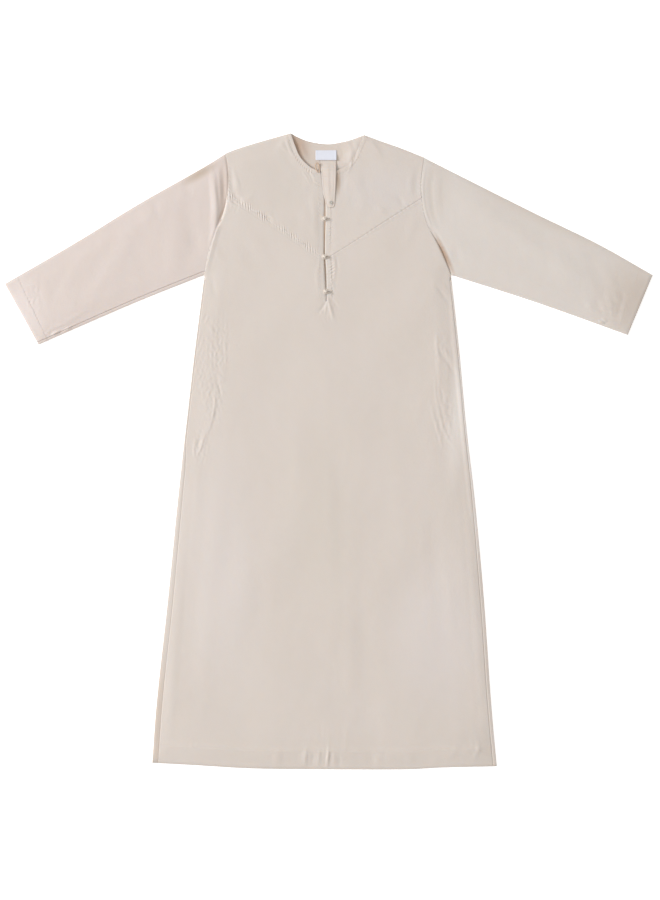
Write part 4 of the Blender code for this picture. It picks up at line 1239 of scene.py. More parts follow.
@dataclass
class FrontPanel:
    """The front below the V seam, whole down to the foot hem, with the foot of the opening."""

    half: np.ndarray = field(default_factory=lambda: spread((
        (0.008, 2), (0.25, 34), (0.87, 27), (0.98, 12), (1.0, 5),
    )))
    levels: np.ndarray = field(default_factory=lambda: spread((
        (0.06, 2), (0.9, 13), (1.1, 5), (2.0, 62), (3.0, 112), (4.0, 20), (4.9, 32), (5.0, 6),
    )))

    def column(self, number: np.ndarray, y: np.ndarray) -> np.ndarray:
        """Return x for a column: 0 to 1 up to the opening, and 2 to 3 beyond it."""
        left = blend(front_left(y), SLIT_LEFT.x_at(y), np.minimum(number, 1.0))
        right = blend(SLIT_RIGHT.x_at(y), front_right(y), np.maximum(number - 2.0, 0.0))
        return np.where(number <= 1.0, left, right)

    def level(self, number: np.ndarray, x: np.ndarray) -> np.ndarray:
        """Return y for a level: hem, skirt, pockets, underarm and V seam at whole numbers."""
        hem = HEM_LINE.y_at(x)
        stops = (hem, hem + HEM_DEPTH, -40.0, SLIT_FOOT, UNDERARM, v_line(x))
        y = np.zeros(np.shape(x))
        for index, (low, high) in enumerate(zip(stops, stops[1:])):
            share = np.clip(number - index, 0.0, 1.0)
            y = np.where(number >= index, blend(low, high, share), y)
        return y

    def outside(self, x: np.ndarray, y: np.ndarray) -> np.ndarray:
        """Return the height of the outer face, which is thicker where the hem is turned up."""
        above_hem = y - HEM_LINE.y_at(x)
        turned = HEM_RISE * ease(1.0 - (above_hem - HEM_DEPTH) / 2.0) * ease(above_hem / 3.0)
        return RELIEF.top(x, y) + turned - TUCK * ease((TUCK_DEPTH - v_line(x) + y) / TUCK_SLOPE)

    def build(self) -> bpy.types.Object:
        """Make the panel."""
        across = np.concatenate([self.half, 3.0 - self.half[::-1]])
        x, y = crossings(self.column, self.level, across, self.levels)
        z = self.outside(x, y)
        cloth = np.ones((len(self.levels) - 1, len(across) - 1), bool)
        foot = int(np.argmin(np.abs(self.levels - 3.0)))
        cloth[foot:, len(self.half) - 1] = False
        piece = wall("front_panel_cloth", stacked(x, y, z), stacked(x, y, z - SHELL), cloth)
        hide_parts("front_panel")
        finished(piece, BODY_COTTON)
        flat_area(x, y)
        return piece


@dataclass
class Yoke:
    """The front above the V seam, on one side of the opening."""

    name: str
    is_left: bool
    rise: float = 0.12
    overlap: float = 14.0
    fine: float = 16.0
    step: float = 0.42
    fading: float = 30.0

    def column(self, number: np.ndarray, y: np.ndarray) -> np.ndarray:
        """Return x for a column: 0 at the armhole, 1 at the neck point and 2 at the opening."""
        outer = front_left(y) if self.is_left else front_right(y)
        point = LEFT_NECK_POINT if self.is_left else RIGHT_NECK_POINT
        slit = SLIT_LEFT.x_at(y) if self.is_left else SLIT_RIGHT.x_at(y)
        by_shoulder = blend(outer, point, np.minimum(number, 1.0))
        by_neckline = blend(point, slit, np.maximum(number - 1.0, 0.0))
        return np.where(number <= 1.0, by_shoulder, by_neckline)

    def level(self, number: np.ndarray, x: np.ndarray) -> np.ndarray:
        """Return y for a level: 0 to 1 across the V seam, and up to 2 at the shoulder or the neckline."""
        if self.is_left:
            top = np.where(x < LEFT_NECK_POINT, SHOULDER_LEFT.y_at(x), NECK_LEFT.y_at(x))
        else:
            top = np.where(x > RIGHT_NECK_POINT, SHOULDER_RIGHT.y_at(x), NECK_RIGHT.y_at(x))
        seam = v_line(x)
        near = blend(seam - self.overlap, seam + self.fine, np.minimum(number, 1.0))
        return np.where(number <= 1.0, near, blend(seam + self.fine, top, number - 1.0))

    def build(self) -> bpy.types.Object:
        """Make the yoke."""
        across = spread(((0.02, 3), (0.95, 112), (1.0, 5), (1.12, 12), (1.95, 56), (2.0, 5)))
        upwards = spread(((0.4, 8), (0.54, 13), (1.0, 13), (1.8, 36), (1.97, 16), (2.0, 4)))
        x, y = crossings(self.column, self.level, across, upwards)
        neckline = NECK_LEFT if self.is_left else NECK_RIGHT
        band = ease((10.0 - neckline.near(x, y)[0]) / 2.0) * 0.1
        below = v_line(x) - y
        step = self.step * ease((0.8 - below) / 1.6) * (1.0 - ease(-below / self.fading))
        z = RELIEF.top(x, y) + self.rise * (1.0 - 2.0 * ease(below / self.overlap)) + band + step
        piece = wall(self.name + "_cloth", stacked(x, y, z), stacked(x, y, z - SHELL))
        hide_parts(self.name)
        finished(piece, BODY_COTTON)
        flat_area(x, y)
        return piece


@dataclass
class BackPanel:
    """The whole back, with its sides turned forward over both side folds up to the underarms."""

    bottom: np.ndarray = field(default_factory=lambda: spread(((0.03, 6), (0.97, 90), (1.0, 6))))
    levels: np.ndarray = field(default_factory=lambda: spread((
        (1.0, 8), (2.0, 60), (3.0, 50), (3.8, 12), (4.0, 4), (4.7, 26), (5.0, 24),
    )))

    def column(self, number: np.ndarray, y: np.ndarray) -> np.ndarray:
        """Return x for a column of the part that lies on the floor, from 0 to 1."""
        inset = np.where(y <= WRAP_TOP, FOLD_RADIUS, SEAM / 2.0)
        return blend(left_edge(y) + inset, right_edge(y) - inset, number)

    def level(self, number: np.ndarray, x: np.ndarray) -> np.ndarray:
        """Return y for a level: hem, skirt, waist, wrap, underarm and shoulder at whole numbers and 3.8."""
        hem = HEM_LINE.y_at(x)
        keys = (0.0, 1.0, 2.0, 3.0, 3.8, 4.0, 5.0)
        stops = (hem, hem + HEM_DEPTH, -40.0, SLIT_FOOT, WRAP_TOP, UNDERARM, shoulder_line(x))
        y = np.zeros(np.shape(x))
        for low_key, high_key, low, high in zip(keys, keys[1:], stops, stops[1:]):
            share = np.clip((number - low_key) / (high_key - low_key), 0.0, 1.0)
            y = np.where(number >= low_key, blend(low, high, share), y)
        return y

    def turned(self, y: np.ndarray, edge: np.ndarray, width: np.ndarray, inwards: float) -> tuple:
        """Lay out one side's strip, from its rim round the side fold to the floor.

        Args:
            y: the level of each row.
            edge: the garment's edge on each row.
            width: how wide the strip is on each row.
            inwards: 1 on the left and -1 on the right.

        Returns:
            The outer and the inner points, each as rows by columns by three.
        """
        lying = np.array([0.0, 0.1, 0.2, 0.3, 0.4, 0.5, 0.62, 0.75, 0.88, 1.0])[None, :]
        rim = edge + inwards * (width + 1.6)
        bend = edge + inwards * FOLD_RADIUS
        flat_x = rim[:, None] + (bend - rim)[:, None] * lying
        flat_y = np.repeat(y[:, None], lying.shape[1], axis=1)
        top = RELIEF.top(flat_x, flat_y)
        above_hem = flat_y - HEM_LINE.y_at(flat_x)
        rise = HEM_RISE * ease((HEM_DEPTH - above_hem) / 2.0) * ease(above_hem / 3.0)
        from_rim = np.abs(flat_x - rim[:, None])
        top = top + rise - 0.7 * ease(1.0 - (from_rim - 1.0) / 2.2) + 0.55 * lying
        angle = np.linspace(0.0, math.pi, 2 * FOLD_STEPS + 1)[None, 1:-1]
        half = top[:, -1:] / 2.0
        fold_x = bend[:, None] - inwards * FOLD_RADIUS * np.sin(angle)
        fold_z = half + half * np.cos(angle)
        inner_x = bend[:, None] - inwards * (FOLD_RADIUS - SHELL) * np.sin(angle)
        inner_z = half + (half - SHELL) * np.cos(angle)
        fold_y = np.repeat(y[:, None], angle.shape[1], axis=1)
        outer = np.concatenate([stacked(flat_x, flat_y, top), stacked(fold_x, fold_y, fold_z)], axis=1)
        under = stacked(flat_x, flat_y, top - SHELL)
        inner = np.concatenate([under, stacked(inner_x, fold_y, inner_z)], axis=1)
        return outer, inner

    def build(self) -> bpy.types.Object:
        """Make the panel."""
        x, y = crossings(self.column, self.level, self.bottom, self.levels)
        left_y = y[:, 0]
        right_y = y[:, -1]
        left_outer, left_inner = self.turned(left_y, left_edge(left_y), strip_width(left_y, "left"), 1.0)
        right_outer, right_inner = self.turned(
            right_y, right_edge(right_y), strip_width(right_y, "right"), -1.0
        )
        low = stacked(x, y, underside(x, y))
        high = stacked(x, y, back_inside(x, y))
        outer = np.concatenate([left_outer, low, right_outer[:, ::-1]], axis=1)
        inner = np.concatenate([left_inner, high, right_inner[:, ::-1]], axis=1)
        cells = outer.shape[1] - 1
        side_cells = left_outer.shape[1]
        cloth = np.ones((len(self.levels) - 1, cells), bool)
        wrap_row = int(np.argmin(np.abs(self.levels - 3.8)))
        cloth[wrap_row:, :side_cells] = False
        cloth[wrap_row:, cells - side_cells:] = False
        piece = wall("back_panel_cloth", outer, inner, cloth)
        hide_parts("back_panel")
        finished(piece, BACK_COTTON)
        flat_area(x, y)
        return piece


@dataclass
class Sleeve:
    """One straight sleeve: a flat tube from the armhole to the cuff, with a turned cuff hem.

    By the armhole it sinks below the body's edge by the tuck: first its depth under the tuck's level, then
    its depth over it. The seam along its foot steps down, and lies inside the fold by the seam's inset, at
    the armhole and at the cuff.
    """

    name: str
    top: Run
    foot: Run
    armhole: Run
    outwards: float
    material: bpy.types.Material
    tuck: tuple[float, float]
    seam_step: float
    tuck_level: float
    cuff_rise: float
    seam_inset: tuple[float, float] = (8.0, 4.5)

    def chords(self, along: np.ndarray) -> tuple[np.ndarray, np.ndarray]:
        """Return the upper and the lower end of the line across the sleeve at each share of its length."""
        start = self.top.at(along * self.top.length)
        end = self.foot.at(along * self.foot.length)
        shift = np.array([self.outwards * SEAM / 2.0, 0.0])
        return start + shift, end + shift

    def build(self) -> bpy.types.Object:
        """Make the sleeve."""
        cuff = CUFF_DEPTH / self.top.length
        along = spread((
            (0.02, 10), (0.16, 38), (0.93 - cuff, 52), (1.0 - cuff - 0.004, 12), (1.0 - cuff + 0.004, 4),
            (0.99, 14), (1.0, 3),
        ))
        start, end = self.chords(along)
        reach = np.hypot(*(end - start).T)
        inward = (end - start) / reach[:, None]
        above = spread(((0.93, 66), (1.0, 22)))
        below = np.linspace(1.0, 0.0, 46)
        turn = np.linspace(0.0, math.pi, 2 * FOLD_STEPS + 1)[1:-1]

        def lying(shares: np.ndarray) -> tuple[np.ndarray, np.ndarray]:
            """Return x and y across the flat part, with the armhole's bow fading towards the cuff."""
            distance = FOLD_RADIUS + shares[None, :] * (reach[:, None] - 2.0 * FOLD_RADIUS)
            spot = start[:, None, :] + inward[:, None, :] * distance[..., None]
            share = distance / reach[:, None]
            first, last = self.armhole.points[-1], self.armhole.points[0]
            level = first[1] + (last[1] - first[1]) * share
            straight = first[0] + (last[0] - first[0]) * share
            bow = (self.armhole.x_at(level) - straight) * ((1.0 - along) ** 2)[:, None]
            return spot[..., 0] + bow, spot[..., 1]

        def rise(shares: np.ndarray) -> np.ndarray:
            """Return how much the turned cuff adds."""
            from_end = (1.0 - along)[:, None] * self.top.length
            return self.cuff_rise * ease((CUFF_DEPTH - from_end) / 2.0 + 0.5) * np.ones((1, len(shares)))
        upper_x, upper_y = lying(above)
        lower_x, lower_y = lying(below)
        from_body = (along * self.top.length)[:, None]
        from_folds = np.minimum(above, 1.0 - above)[None, :]
        hidden = ease(1.0 - from_body / 8.0) * ease(from_folds / 0.03)
        upper_x = upper_x - self.outwards * 2.2 * hidden
        stitch = -0.05 * ease(1.0 - np.abs((1.0 - along)[:, None] * self.top.length - CUFF_DEPTH) / 2.4)
        tuck = blend(self.tuck[0], self.tuck[1], ease((upper_y - self.tuck_level) / 45.0))
        slope = 3.5 + 3.0 * self.tuck[0] * ease((560.0 - upper_y) / 60.0)
        dip = tuck * ease(1.0 - (from_body - 2.2) / slope) * ease(from_folds / 0.02)
        inset = blend(self.seam_inset[0], self.seam_inset[1], along)[:, None]
        to_foot = (1.0 - above)[None, :] * reach[:, None]
        beyond = inset - to_foot
        step = self.seam_step * (ease(1.0 - np.abs(beyond) / 1.5) + 0.15 * ease(beyond / 1.4))
        upper_z = RELIEF.top(upper_x, upper_y) + rise(above) + stitch - dip - step
        lower_z = underside(lower_x, lower_y)

        def bent(column: int, away: np.ndarray, depth: float) -> np.ndarray:
            """Return the points of one long fold, from top to underside, at a depth in the cloth."""
            half = upper_z[:, column, None] / 2.0
            side = (FOLD_RADIUS - depth) * np.sin(turn)[None, :]
            return stacked(
                upper_x[:, column, None] + away[:, :1] * side,
                upper_y[:, column, None] + away[:, 1:] * side,
                half + (half - depth) * np.cos(turn)[None, :],
            )
        outer, inner = [
            np.concatenate([
                stacked(upper_x, upper_y, upper_z - depth), bent(-1, inward, depth),
                stacked(lower_x, lower_y, lower_z + depth), bent(0, -inward, depth)[:, ::-1],
            ], axis=1)
            for depth in (0.0, SHELL)
        ]
        piece = wall(self.name + "_cloth", outer, inner, ring=True)
        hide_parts(self.name)
        finished(piece, self.material)
        around = float(reach.max()) * 2.0 * MM
        length = max(self.top.length, self.foot.length) * MM
        area = min(2.0 * flat_area(upper_x, upper_y), around * length)
        return piece


@dataclass
class Placket:
    """The stitched band along one edge of the opening."""

    name: str
    slit: Run
    outwards: float
    top: float
    rise: float
    lip: float = 0.9
    fading: float = 16.0

    def face(self, x: np.ndarray, y: np.ndarray) -> np.ndarray:
        """Return the height of the band's outer face, which rounds down to the cloth at both borders."""
        share = ((x - self.slit.x_at(y)) * self.outwards + self.lip) / (PLACKET + self.lip)
        rounding = ease(np.minimum(share / 0.08, (1.0 - share) / 0.22))
        foot = ease((y - SLIT_FOOT) / self.fading)
        return RELIEF.top(x, y) + self.rise * rounding * foot - 0.08

    def build(self) -> bpy.types.Object:
        """Make the band."""
        levels = np.linspace(SLIT_FOOT, self.top, 220)
        shares = np.array([0.0, 0.03, 0.07, 0.14, 0.22, 0.3, 0.4, 0.5, 0.6, 0.7, 0.78, 0.84, 0.9, 0.95, 1.0])
        offset = (shares[None, :] * (PLACKET + self.lip) - self.lip) * self.outwards
        y = np.repeat(levels[:, None], len(shares), axis=1)
        x = self.slit.x_at(y) + offset
        z = self.face(x, y)
        piece = wall(self.name + "_cloth", stacked(x, y, z), stacked(x, y, z - 0.45))
        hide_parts(self.name)
        finished(piece, BODY_COTTON)
        flat_area(x, y)
        return piece


@dataclass(frozen=True)
class BagRow:
    """One level of a pocket bag: how far from the middle line its inner edge lies."""

    y: float
    inner: float


@dataclass
class PocketBag:
    """A pocket bag that hangs from the side seam between the front and the back."""

    name: str
    rows: tuple[BagRow, ...]
    inwards: float

    def build(self) -> bpy.types.Object:
        """Make the bag as one thin sheet with shallow waves."""
        ordered = sorted(self.rows, key=lambda row: row.y)
        levels = np.linspace(ordered[0].y, ordered[-1].y, 60)
        depth = -self.inwards * Run(tuple((row.inner, row.y) for row in ordered)).x_at(levels)
        edge = (left_edge(levels) if self.inwards > 0 else right_edge(levels)) + self.inwards * 30.0
        shares = np.linspace(0.0, 1.0, 16)[None, :]
        x = edge[:, None] + (depth - edge)[:, None] * shares
        y = np.repeat(levels[:, None], shares.shape[1], axis=1)
        z = back_inside(x, y) + 0.2 + 0.1 * np.sin(y / 9.0) * np.sin(x / 11.0)
        piece = wall(self.name + "_cloth", stacked(x, y, z + 0.4), stacked(x, y, z))
        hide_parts(self.name)
        finished(piece, POCKET_COTTON)
        flat_area(x, y)
        return piece


@dataclass(frozen=True)
class TabRow:
    """One level of the neck tab, with the lift of its free right edge."""

    y: float
    left: float
    right: float
    lift: float


@dataclass
class NeckTab:
    """The strap that lies over the top of the opening, with a free rounded foot and its button."""

    rows: tuple[TabRow, ...] = (
        TabRow(559.6, 3.0, 6.5, 0.0),
        TabRow(560.6, -1.5, 10.5, 0.0),
        TabRow(563, -4.6, 12.6, 0.1),
        TabRow(567, -6.5, 13.8, 0.2),
        TabRow(578, -9.0, 14.3, 0.8),
        TabRow(592, -12.4, 15.0, 1.2),
        TabRow(608, -14.0, 16.0, 1.7),
        TabRow(624, -15.7, 16.5, 1.7),
        TabRow(640, -17.0, 17.0, 1.1),
        TabRow(655, -18.0, 17.0, 0.5),
        TabRow(667, -18.5, 17.0, 0.1),
        TabRow(673, -18.5, 17.0, 0.0),
    )
    middle: float = 5.0
    clearance: float = 0.7
    neck_bed: float = 1.7
    button: tuple[float, float, float] = (5.0, 571.0, 3.6)
    button_profile: Spots = (
        (0.0, 1.15), (0.22, 1.15), (0.55, 1.1), (0.66, 1.35), (0.82, 1.6), (0.94, 1.45), (1.0, 1.0),
        (0.94, 0.3), (0.0, 0.15),
    )

    def surface(self, x: np.ndarray, y: np.ndarray) -> np.ndarray:
        """Return the height of the tab's underside."""
        keys = [row.y for row in self.rows]
        left = np.interp(y, keys, [row.left for row in self.rows])
        right = np.interp(y, keys, [row.right for row in self.rows])
        lift = np.interp(y, keys, [row.lift for row in self.rows])
        share = np.clip((x - left) / np.maximum(right - left, 0.1), 0.0, 1.0)
        inside_neck = ease((y - 645.0) / 20.0)
        trough = 0.45 * ease(1.0 - np.abs(share - 0.62) / 0.18) * ease((y - 580.0) / 20.0)
        crease = 0.8 * np.sin(math.pi * share) ** 2 - trough
        wave = 0.22 * np.sin(y / 8.0 + 4.0 * share) * ease((y - 570.0) / 20.0)
        on_front = RELIEF.top(np.full(np.shape(y), self.middle), y) + self.clearance
        bed = blend(on_front, self.neck_bed, inside_neck)
        return bed + lift * share ** 1.5 + (crease + wave) * (1.0 - 0.7 * inside_neck)

    def build(self) -> tuple[bpy.types.Object, bpy.types.Object]:
        """Make the tab and its button."""
        left_run = Run(tuple((row.left, row.y) for row in self.rows))
        right_run = Run(tuple((row.right, row.y) for row in self.rows))
        foot, top = self.rows[0].y, self.rows[-1].y
        levels = np.concatenate([np.linspace(foot, 568.0, 14), np.linspace(569.5, top, 76)])
        shares = np.concatenate([[0.0, 0.03, 0.07], np.linspace(0.12, 0.88, 16), [0.93, 0.97, 1.0]])
        left = left_run.x_at(levels)[:, None]
        right = right_run.x_at(levels)[:, None]
        x = left + (right - left) * shares[None, :]
        y = np.repeat(levels[:, None], len(shares), axis=1)
        under = self.surface(x, y)
        from_edge = np.minimum(np.minimum(x - left, right - x), (y - foot) * 1.2)
        piping = 0.35 * ease(1.0 - np.abs(from_edge - 1.1) / 1.1)
        channel = 0.3 * ease(1.0 - np.abs(from_edge - 3.2) / 1.2)
        outer = under + 0.35 + 0.3 * ease(from_edge / 0.5) + (piping - channel)
        piece = wall("neck_tab_cloth", stacked(x, y, outer), stacked(x, y, under))
        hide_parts("neck_tab")
        finished(piece, TAB_COTTON)
        flat_area(x, y)
        return piece, self.make_button()

    def make_button(self) -> bpy.types.Object:
        """Make the flat button with a raised rim and two holes' dimples, sewn on near the tab's foot."""
        centre_x, centre_y, radius = self.button
        bed = float(self.surface(np.array([centre_x]), np.array([centre_y]))[0]) + 0.7
        turns = np.linspace(0.0, math.tau, 40, endpoint=False)
        reach = np.array([share for share, _ in self.button_profile])[:, None] * radius
        height = np.array([rise for _, rise in self.button_profile])[:, None] + bed
        x = centre_x + reach * np.cos(turns)[None, :]
        y = centre_y + reach * np.sin(turns)[None, :]
        z = np.repeat(height, len(turns), axis=1)
        for side in (-1.0, 1.0):
            hole = np.hypot(x - centre_x - side * 0.9, y - centre_y)
            z = z - 0.5 * ease(1.0 - hole / 0.9) * (z > bed + 0.8)
        return surface_piece("tab_button_shell", stacked(x, y, z), "tab_button", BUTTON_SHELL)


def surface_piece(
    name: str, rings: np.ndarray, node: Optional[str], material: bpy.types.Material
) -> bpy.types.Object:
    """Make one closed skin through rings of points, capped at both ends.

    Args:
        name: the piece's name.
        rings: rings by points by three, in millimetres.
        node: the solid that the piece stands for.
        material: its material.

    Returns:
        The new object.
    """
    count, sides = rings.shape[:2]
    number = np.arange(count * sides).reshape(count, sides)
    beside = np.roll(number, -1, axis=1)
    faces = np.stack([number[:-1], beside[:-1], beside[1:], number[1:]], -1).reshape(-1, 4).tolist()
    faces += [number[0][::-1].tolist(), number[-1].tolist()]
    mesh = bpy.data.meshes.new(name)
    mesh.from_pydata((rings.reshape(-1, 3) * MM).tolist(), [], faces)
    maker = bmesh.new()
    maker.from_mesh(mesh)
    bmesh.ops.remove_doubles(maker, verts=maker.verts, dist=1e-6)
    bmesh.ops.recalc_face_normals(maker, faces=maker.faces)
    maker.to_mesh(mesh)
    maker.free()
    piece = bpy.data.objects.new(name, mesh)
    bpy.context.scene.collection.objects.link(piece)
    if node:
        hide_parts(node)
    return finished(piece, material)


def tube(path: np.ndarray, radius: np.ndarray | float, sides: int = 12, closed: bool = False) -> np.ndarray:
    """Return the rings of a round cord along a path.

    Args:
        path: points by three.
        radius: the cord's radius, or one for each point.
        sides: how many points a ring has.
        closed: whether the path's last point joins its first.

    Returns:
        Rings by points by three.
    """
    if closed:
        ahead = np.roll(path, -1, axis=0) - np.roll(path, 1, axis=0)
    else:
        ahead = np.gradient(path, axis=0)
    ahead = ahead / np.linalg.norm(ahead, axis=1)[:, None]
    up = np.zeros_like(path)
    up[:, 2] = 1.0
    aside = np.cross(ahead, up)
    aside = aside / np.maximum(np.linalg.norm(aside, axis=1)[:, None], 1e-6)
    above = np.cross(aside, ahead)
    turns = np.linspace(0.0, math.tau, sides, endpoint=False)
    size = np.broadcast_to(np.asarray(radius, float), len(path))[:, None, None]
    ring = aside[:, None, :] * np.cos(turns)[None, :, None] + above[:, None, :] * np.sin(turns)[None, :, None]
    return path[:, None, :] + ring * size


@dataclass
class BallButton:
    """A knotted cloth ball on the opening's edge, with the cloth loop that catches it."""

    number: int
    x: float
    y: float
    bed: float
    core: float = 3.0
    strand: float = 1.05
    loop_radius: float = 0.85
    loop_round: float = 5.2
    loop_reach: float = 11.0

    def build(self) -> None:
        """Make the ball's core and strand, and the loop."""
        centre = np.array([self.x, self.y, self.bed + self.core + self.strand])
        turn = np.linspace(0.0, math.tau * 3.0, 300, endpoint=False)
        tilt = math.radians(58.0) * np.sin(4.0 * turn / 3.0)
        radius = self.core * 0.93 + 0.42 * np.sin(8.0 * turn / 3.0 + 0.8)
        path = np.stack([
            radius * np.cos(tilt) * np.cos(turn), radius * np.sin(tilt), radius * np.cos(tilt) * np.sin(turn),
        ], axis=-1) + centre
        strand = tube(path, self.strand, 10, closed=True)
        strand = np.concatenate([strand, strand[:1]])
        latitudes = np.linspace(-math.pi / 2.0 + 0.05, math.pi / 2.0 - 0.05, 14)[:, None]
        around = np.linspace(0.0, math.tau, 24, endpoint=False)[None, :]
        core = stacked(
            self.core * 0.95 * np.cos(latitudes) * np.cos(around),
            self.core * 0.95 * np.cos(latitudes) * np.sin(around),
            self.core * 0.95 * np.sin(latitudes) * np.ones_like(around),
        ) + centre
        name = f"ball_button_{self.number}"
        ball = surface_piece(name + "_knot", strand, name, KNOT_CORD)
        inside = surface_piece(name + "_core", core, None, KNOT_CORD)
        join((ball, inside))
        self.make_loop()

    def make_loop(self) -> None:
        """Make the loop, whose ends are sewn under the right placket's edge."""
        height = self.bed + self.loop_radius
        side = self.loop_radius * 1.3
        angles = np.radians(np.linspace(38.0, 322.0, 40))
        ring = np.stack([
            self.x + self.loop_round * np.cos(angles), self.y + self.loop_round * np.sin(angles),
            height + 0.9 * ease((-np.cos(angles) + 0.4) / 1.4),
        ], axis=-1)
        tails = np.linspace(0.0, 1.0, 8)
        first = np.array([self.x + self.loop_reach, self.y + side, height - 0.5])
        last = np.array([self.x + self.loop_reach, self.y - side, height - 0.5])
        path = np.concatenate([
            first + (ring[0] - first) * tails[:-1, None],
            ring,
            ring[-1] + (last - ring[-1]) * tails[1:, None],
        ])
        smooth = path.copy()
        for _ in range(4):
            smooth[1:-1] = (smooth[:-2] + 2.0 * smooth[1:-1] + smooth[2:]) / 4.0
        name = f"button_loop_{self.number}"
        surface_piece(name + "_cord", tube(smooth, self.loop_radius, 10), name, KNOT_CORD)


def join(pieces: Sequence[bpy.types.Object]) -> bpy.types.Object:
    """Join pieces into the first of them."""
    maker = bmesh.new()
    for piece in pieces:
        maker.from_mesh(piece.data)
    maker.to_mesh(pieces[0].data)
    maker.free()
    pieces[0].data.shade_smooth()
    for piece in pieces[1:]:
        bpy.data.objects.remove(piece, do_unlink=True)
    return pieces[0]


@dataclass
class NeckLoop:
    """The small cloth loop at the left front's neck corner."""

    spots: Spots = (
        (-25, 640), (-29, 648), (-30.5, 656), (-27.5, 662), (-23.5, 659), (-21.5, 650), (-21, 640),
    )
    clearance: float = 1.4
    radius: float = 1.3

    def build(self) -> bpy.types.Object:
        """Make the loop."""
        run = Run(self.spots)
        spots = run.at(np.linspace(0.0, run.length, 60))
        share = np.linspace(0.0, 1.0, 60)
        foot = RELIEF.top(spots[:1, 0], spots[:1, 1])
        lift = foot + self.clearance - 0.6 * (1.0 - ease(np.minimum(share, 1.0 - share) / 0.2))
        path = np.concatenate([spots, lift[:, None]], axis=1)
        rings = tube(path, self.radius, 12)
        return surface_piece("neck_loop_cord", rings, "neck_loop", TAN_CORD)


@dataclass
class NeckLabel:
    """The bare woven label inside the back neck, folded under at its short ends."""

    low: tuple[float, float] = (-30.0, 669.0)
    high: tuple[float, float] = (18.0, 692.0)

    def build(self) -> bpy.types.Object:
        """Make the label with a lower edge that curls up a little."""
        across = np.linspace(self.low[0], self.high[0], 50)
        x, y = np.meshgrid(across, np.linspace(self.low[1], self.high[1], 26))
        share = (y - self.low[1]) / (self.high[1] - self.low[1])
        curl = 2.8 * ease(1.0 - share * 1.2) + 0.1 * np.sin(x / 5.0) * (1.0 - share)
        selvedge = np.minimum(x - self.low[0], self.high[0] - x)
        fold = 0.2 * ease((4.0 - selvedge) / 0.6)
        z = back_inside(x, y) + 0.35 + curl
        piece = wall("neck_label_tape", stacked(x, y, z + 0.35 + fold), stacked(x, y, z))
        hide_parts("neck_label")
        finished(piece, LABEL_TAPE)
        flat_area(x, y)
        return piece


@dataclass(frozen=True)
class StitchLine:
    """A line of stitches on the cloth."""

    name: str
    line: Run
    height: Surface
    stitch: float = 2.4
    gap: float = 0.9
    radius: float = 0.2


def sew(name: str, lines: Sequence[StitchLine]) -> bpy.types.Object:
    """Make all the stitches of some lines as one piece of thread.

    Args:
        name: the piece's name.
        lines: the lines of stitches.

    Returns:
        The new object.
    """
    shares = np.array([-0.5, -0.42, -0.15, 0.15, 0.42, 0.5])
    thick = np.array([0.15, 0.75, 1.0, 1.0, 0.75, 0.15])
    above_cloth = 0.7 - 1.8 * (np.abs(shares) > 0.45)
    sides = 5
    turns = np.linspace(0.0, math.tau, sides, endpoint=False)
    points = []
    faces = []
    for row in lines:
        middles = np.arange(row.stitch, row.line.length - row.stitch, row.stitch + row.gap)
        places = row.line.at(middles[:, None] + shares[None, :] * row.stitch)
        heights = row.height(places[..., 0], places[..., 1]) + row.radius * above_cloth
        for spots, z in zip(places, heights):
            ahead = spots[-1] - spots[0]
            ahead = ahead / np.linalg.norm(ahead)
            aside = np.array([-ahead[1], ahead[0], 0.0])
            up = np.array([0.0, 0.0, 1.0])
            ring = aside[None, :] * np.cos(turns)[:, None] + up[None, :] * np.sin(turns)[:, None]
            middle = np.concatenate([spots, z[:, None]], axis=1)
            body = middle[:, None, :] + ring[None] * (thick * row.radius)[:, None, None]
            base = len(points)
            points.extend(body.reshape(-1, 3).tolist())
            for section in range(len(shares) - 1):
                for side in range(sides):
                    beside = (side + 1) % sides
                    low = base + section * sides
                    faces.append((low + side, low + beside, low + sides + beside, low + sides + side))
            faces.append(tuple(base + side for side in range(sides))[::-1])
            faces.append(tuple(base + (len(shares) - 1) * sides + side for side in range(sides)))
    mesh = bpy.data.meshes.new(name)
    mesh.from_pydata((np.array(points) * MM).tolist(), [], faces)
    piece = bpy.data.objects.new(name, mesh)
    bpy.context.scene.collection.objects.link(piece)
    return finished(piece, SEWING_THREAD)


def cuff_line(sleeve: Sleeve, steps: int = 50) -> Run:
    """Return the line of the cuff's stitches on a sleeve's upper side."""
    share = np.array([1.0 - CUFF_DEPTH / sleeve.top.length])
    start, end = sleeve.chords(share)
    along = np.linspace(0.02, 0.98, steps)[:, None]
    return Run(tuple(map(tuple, start + (end - start) * along)), rounded=False)


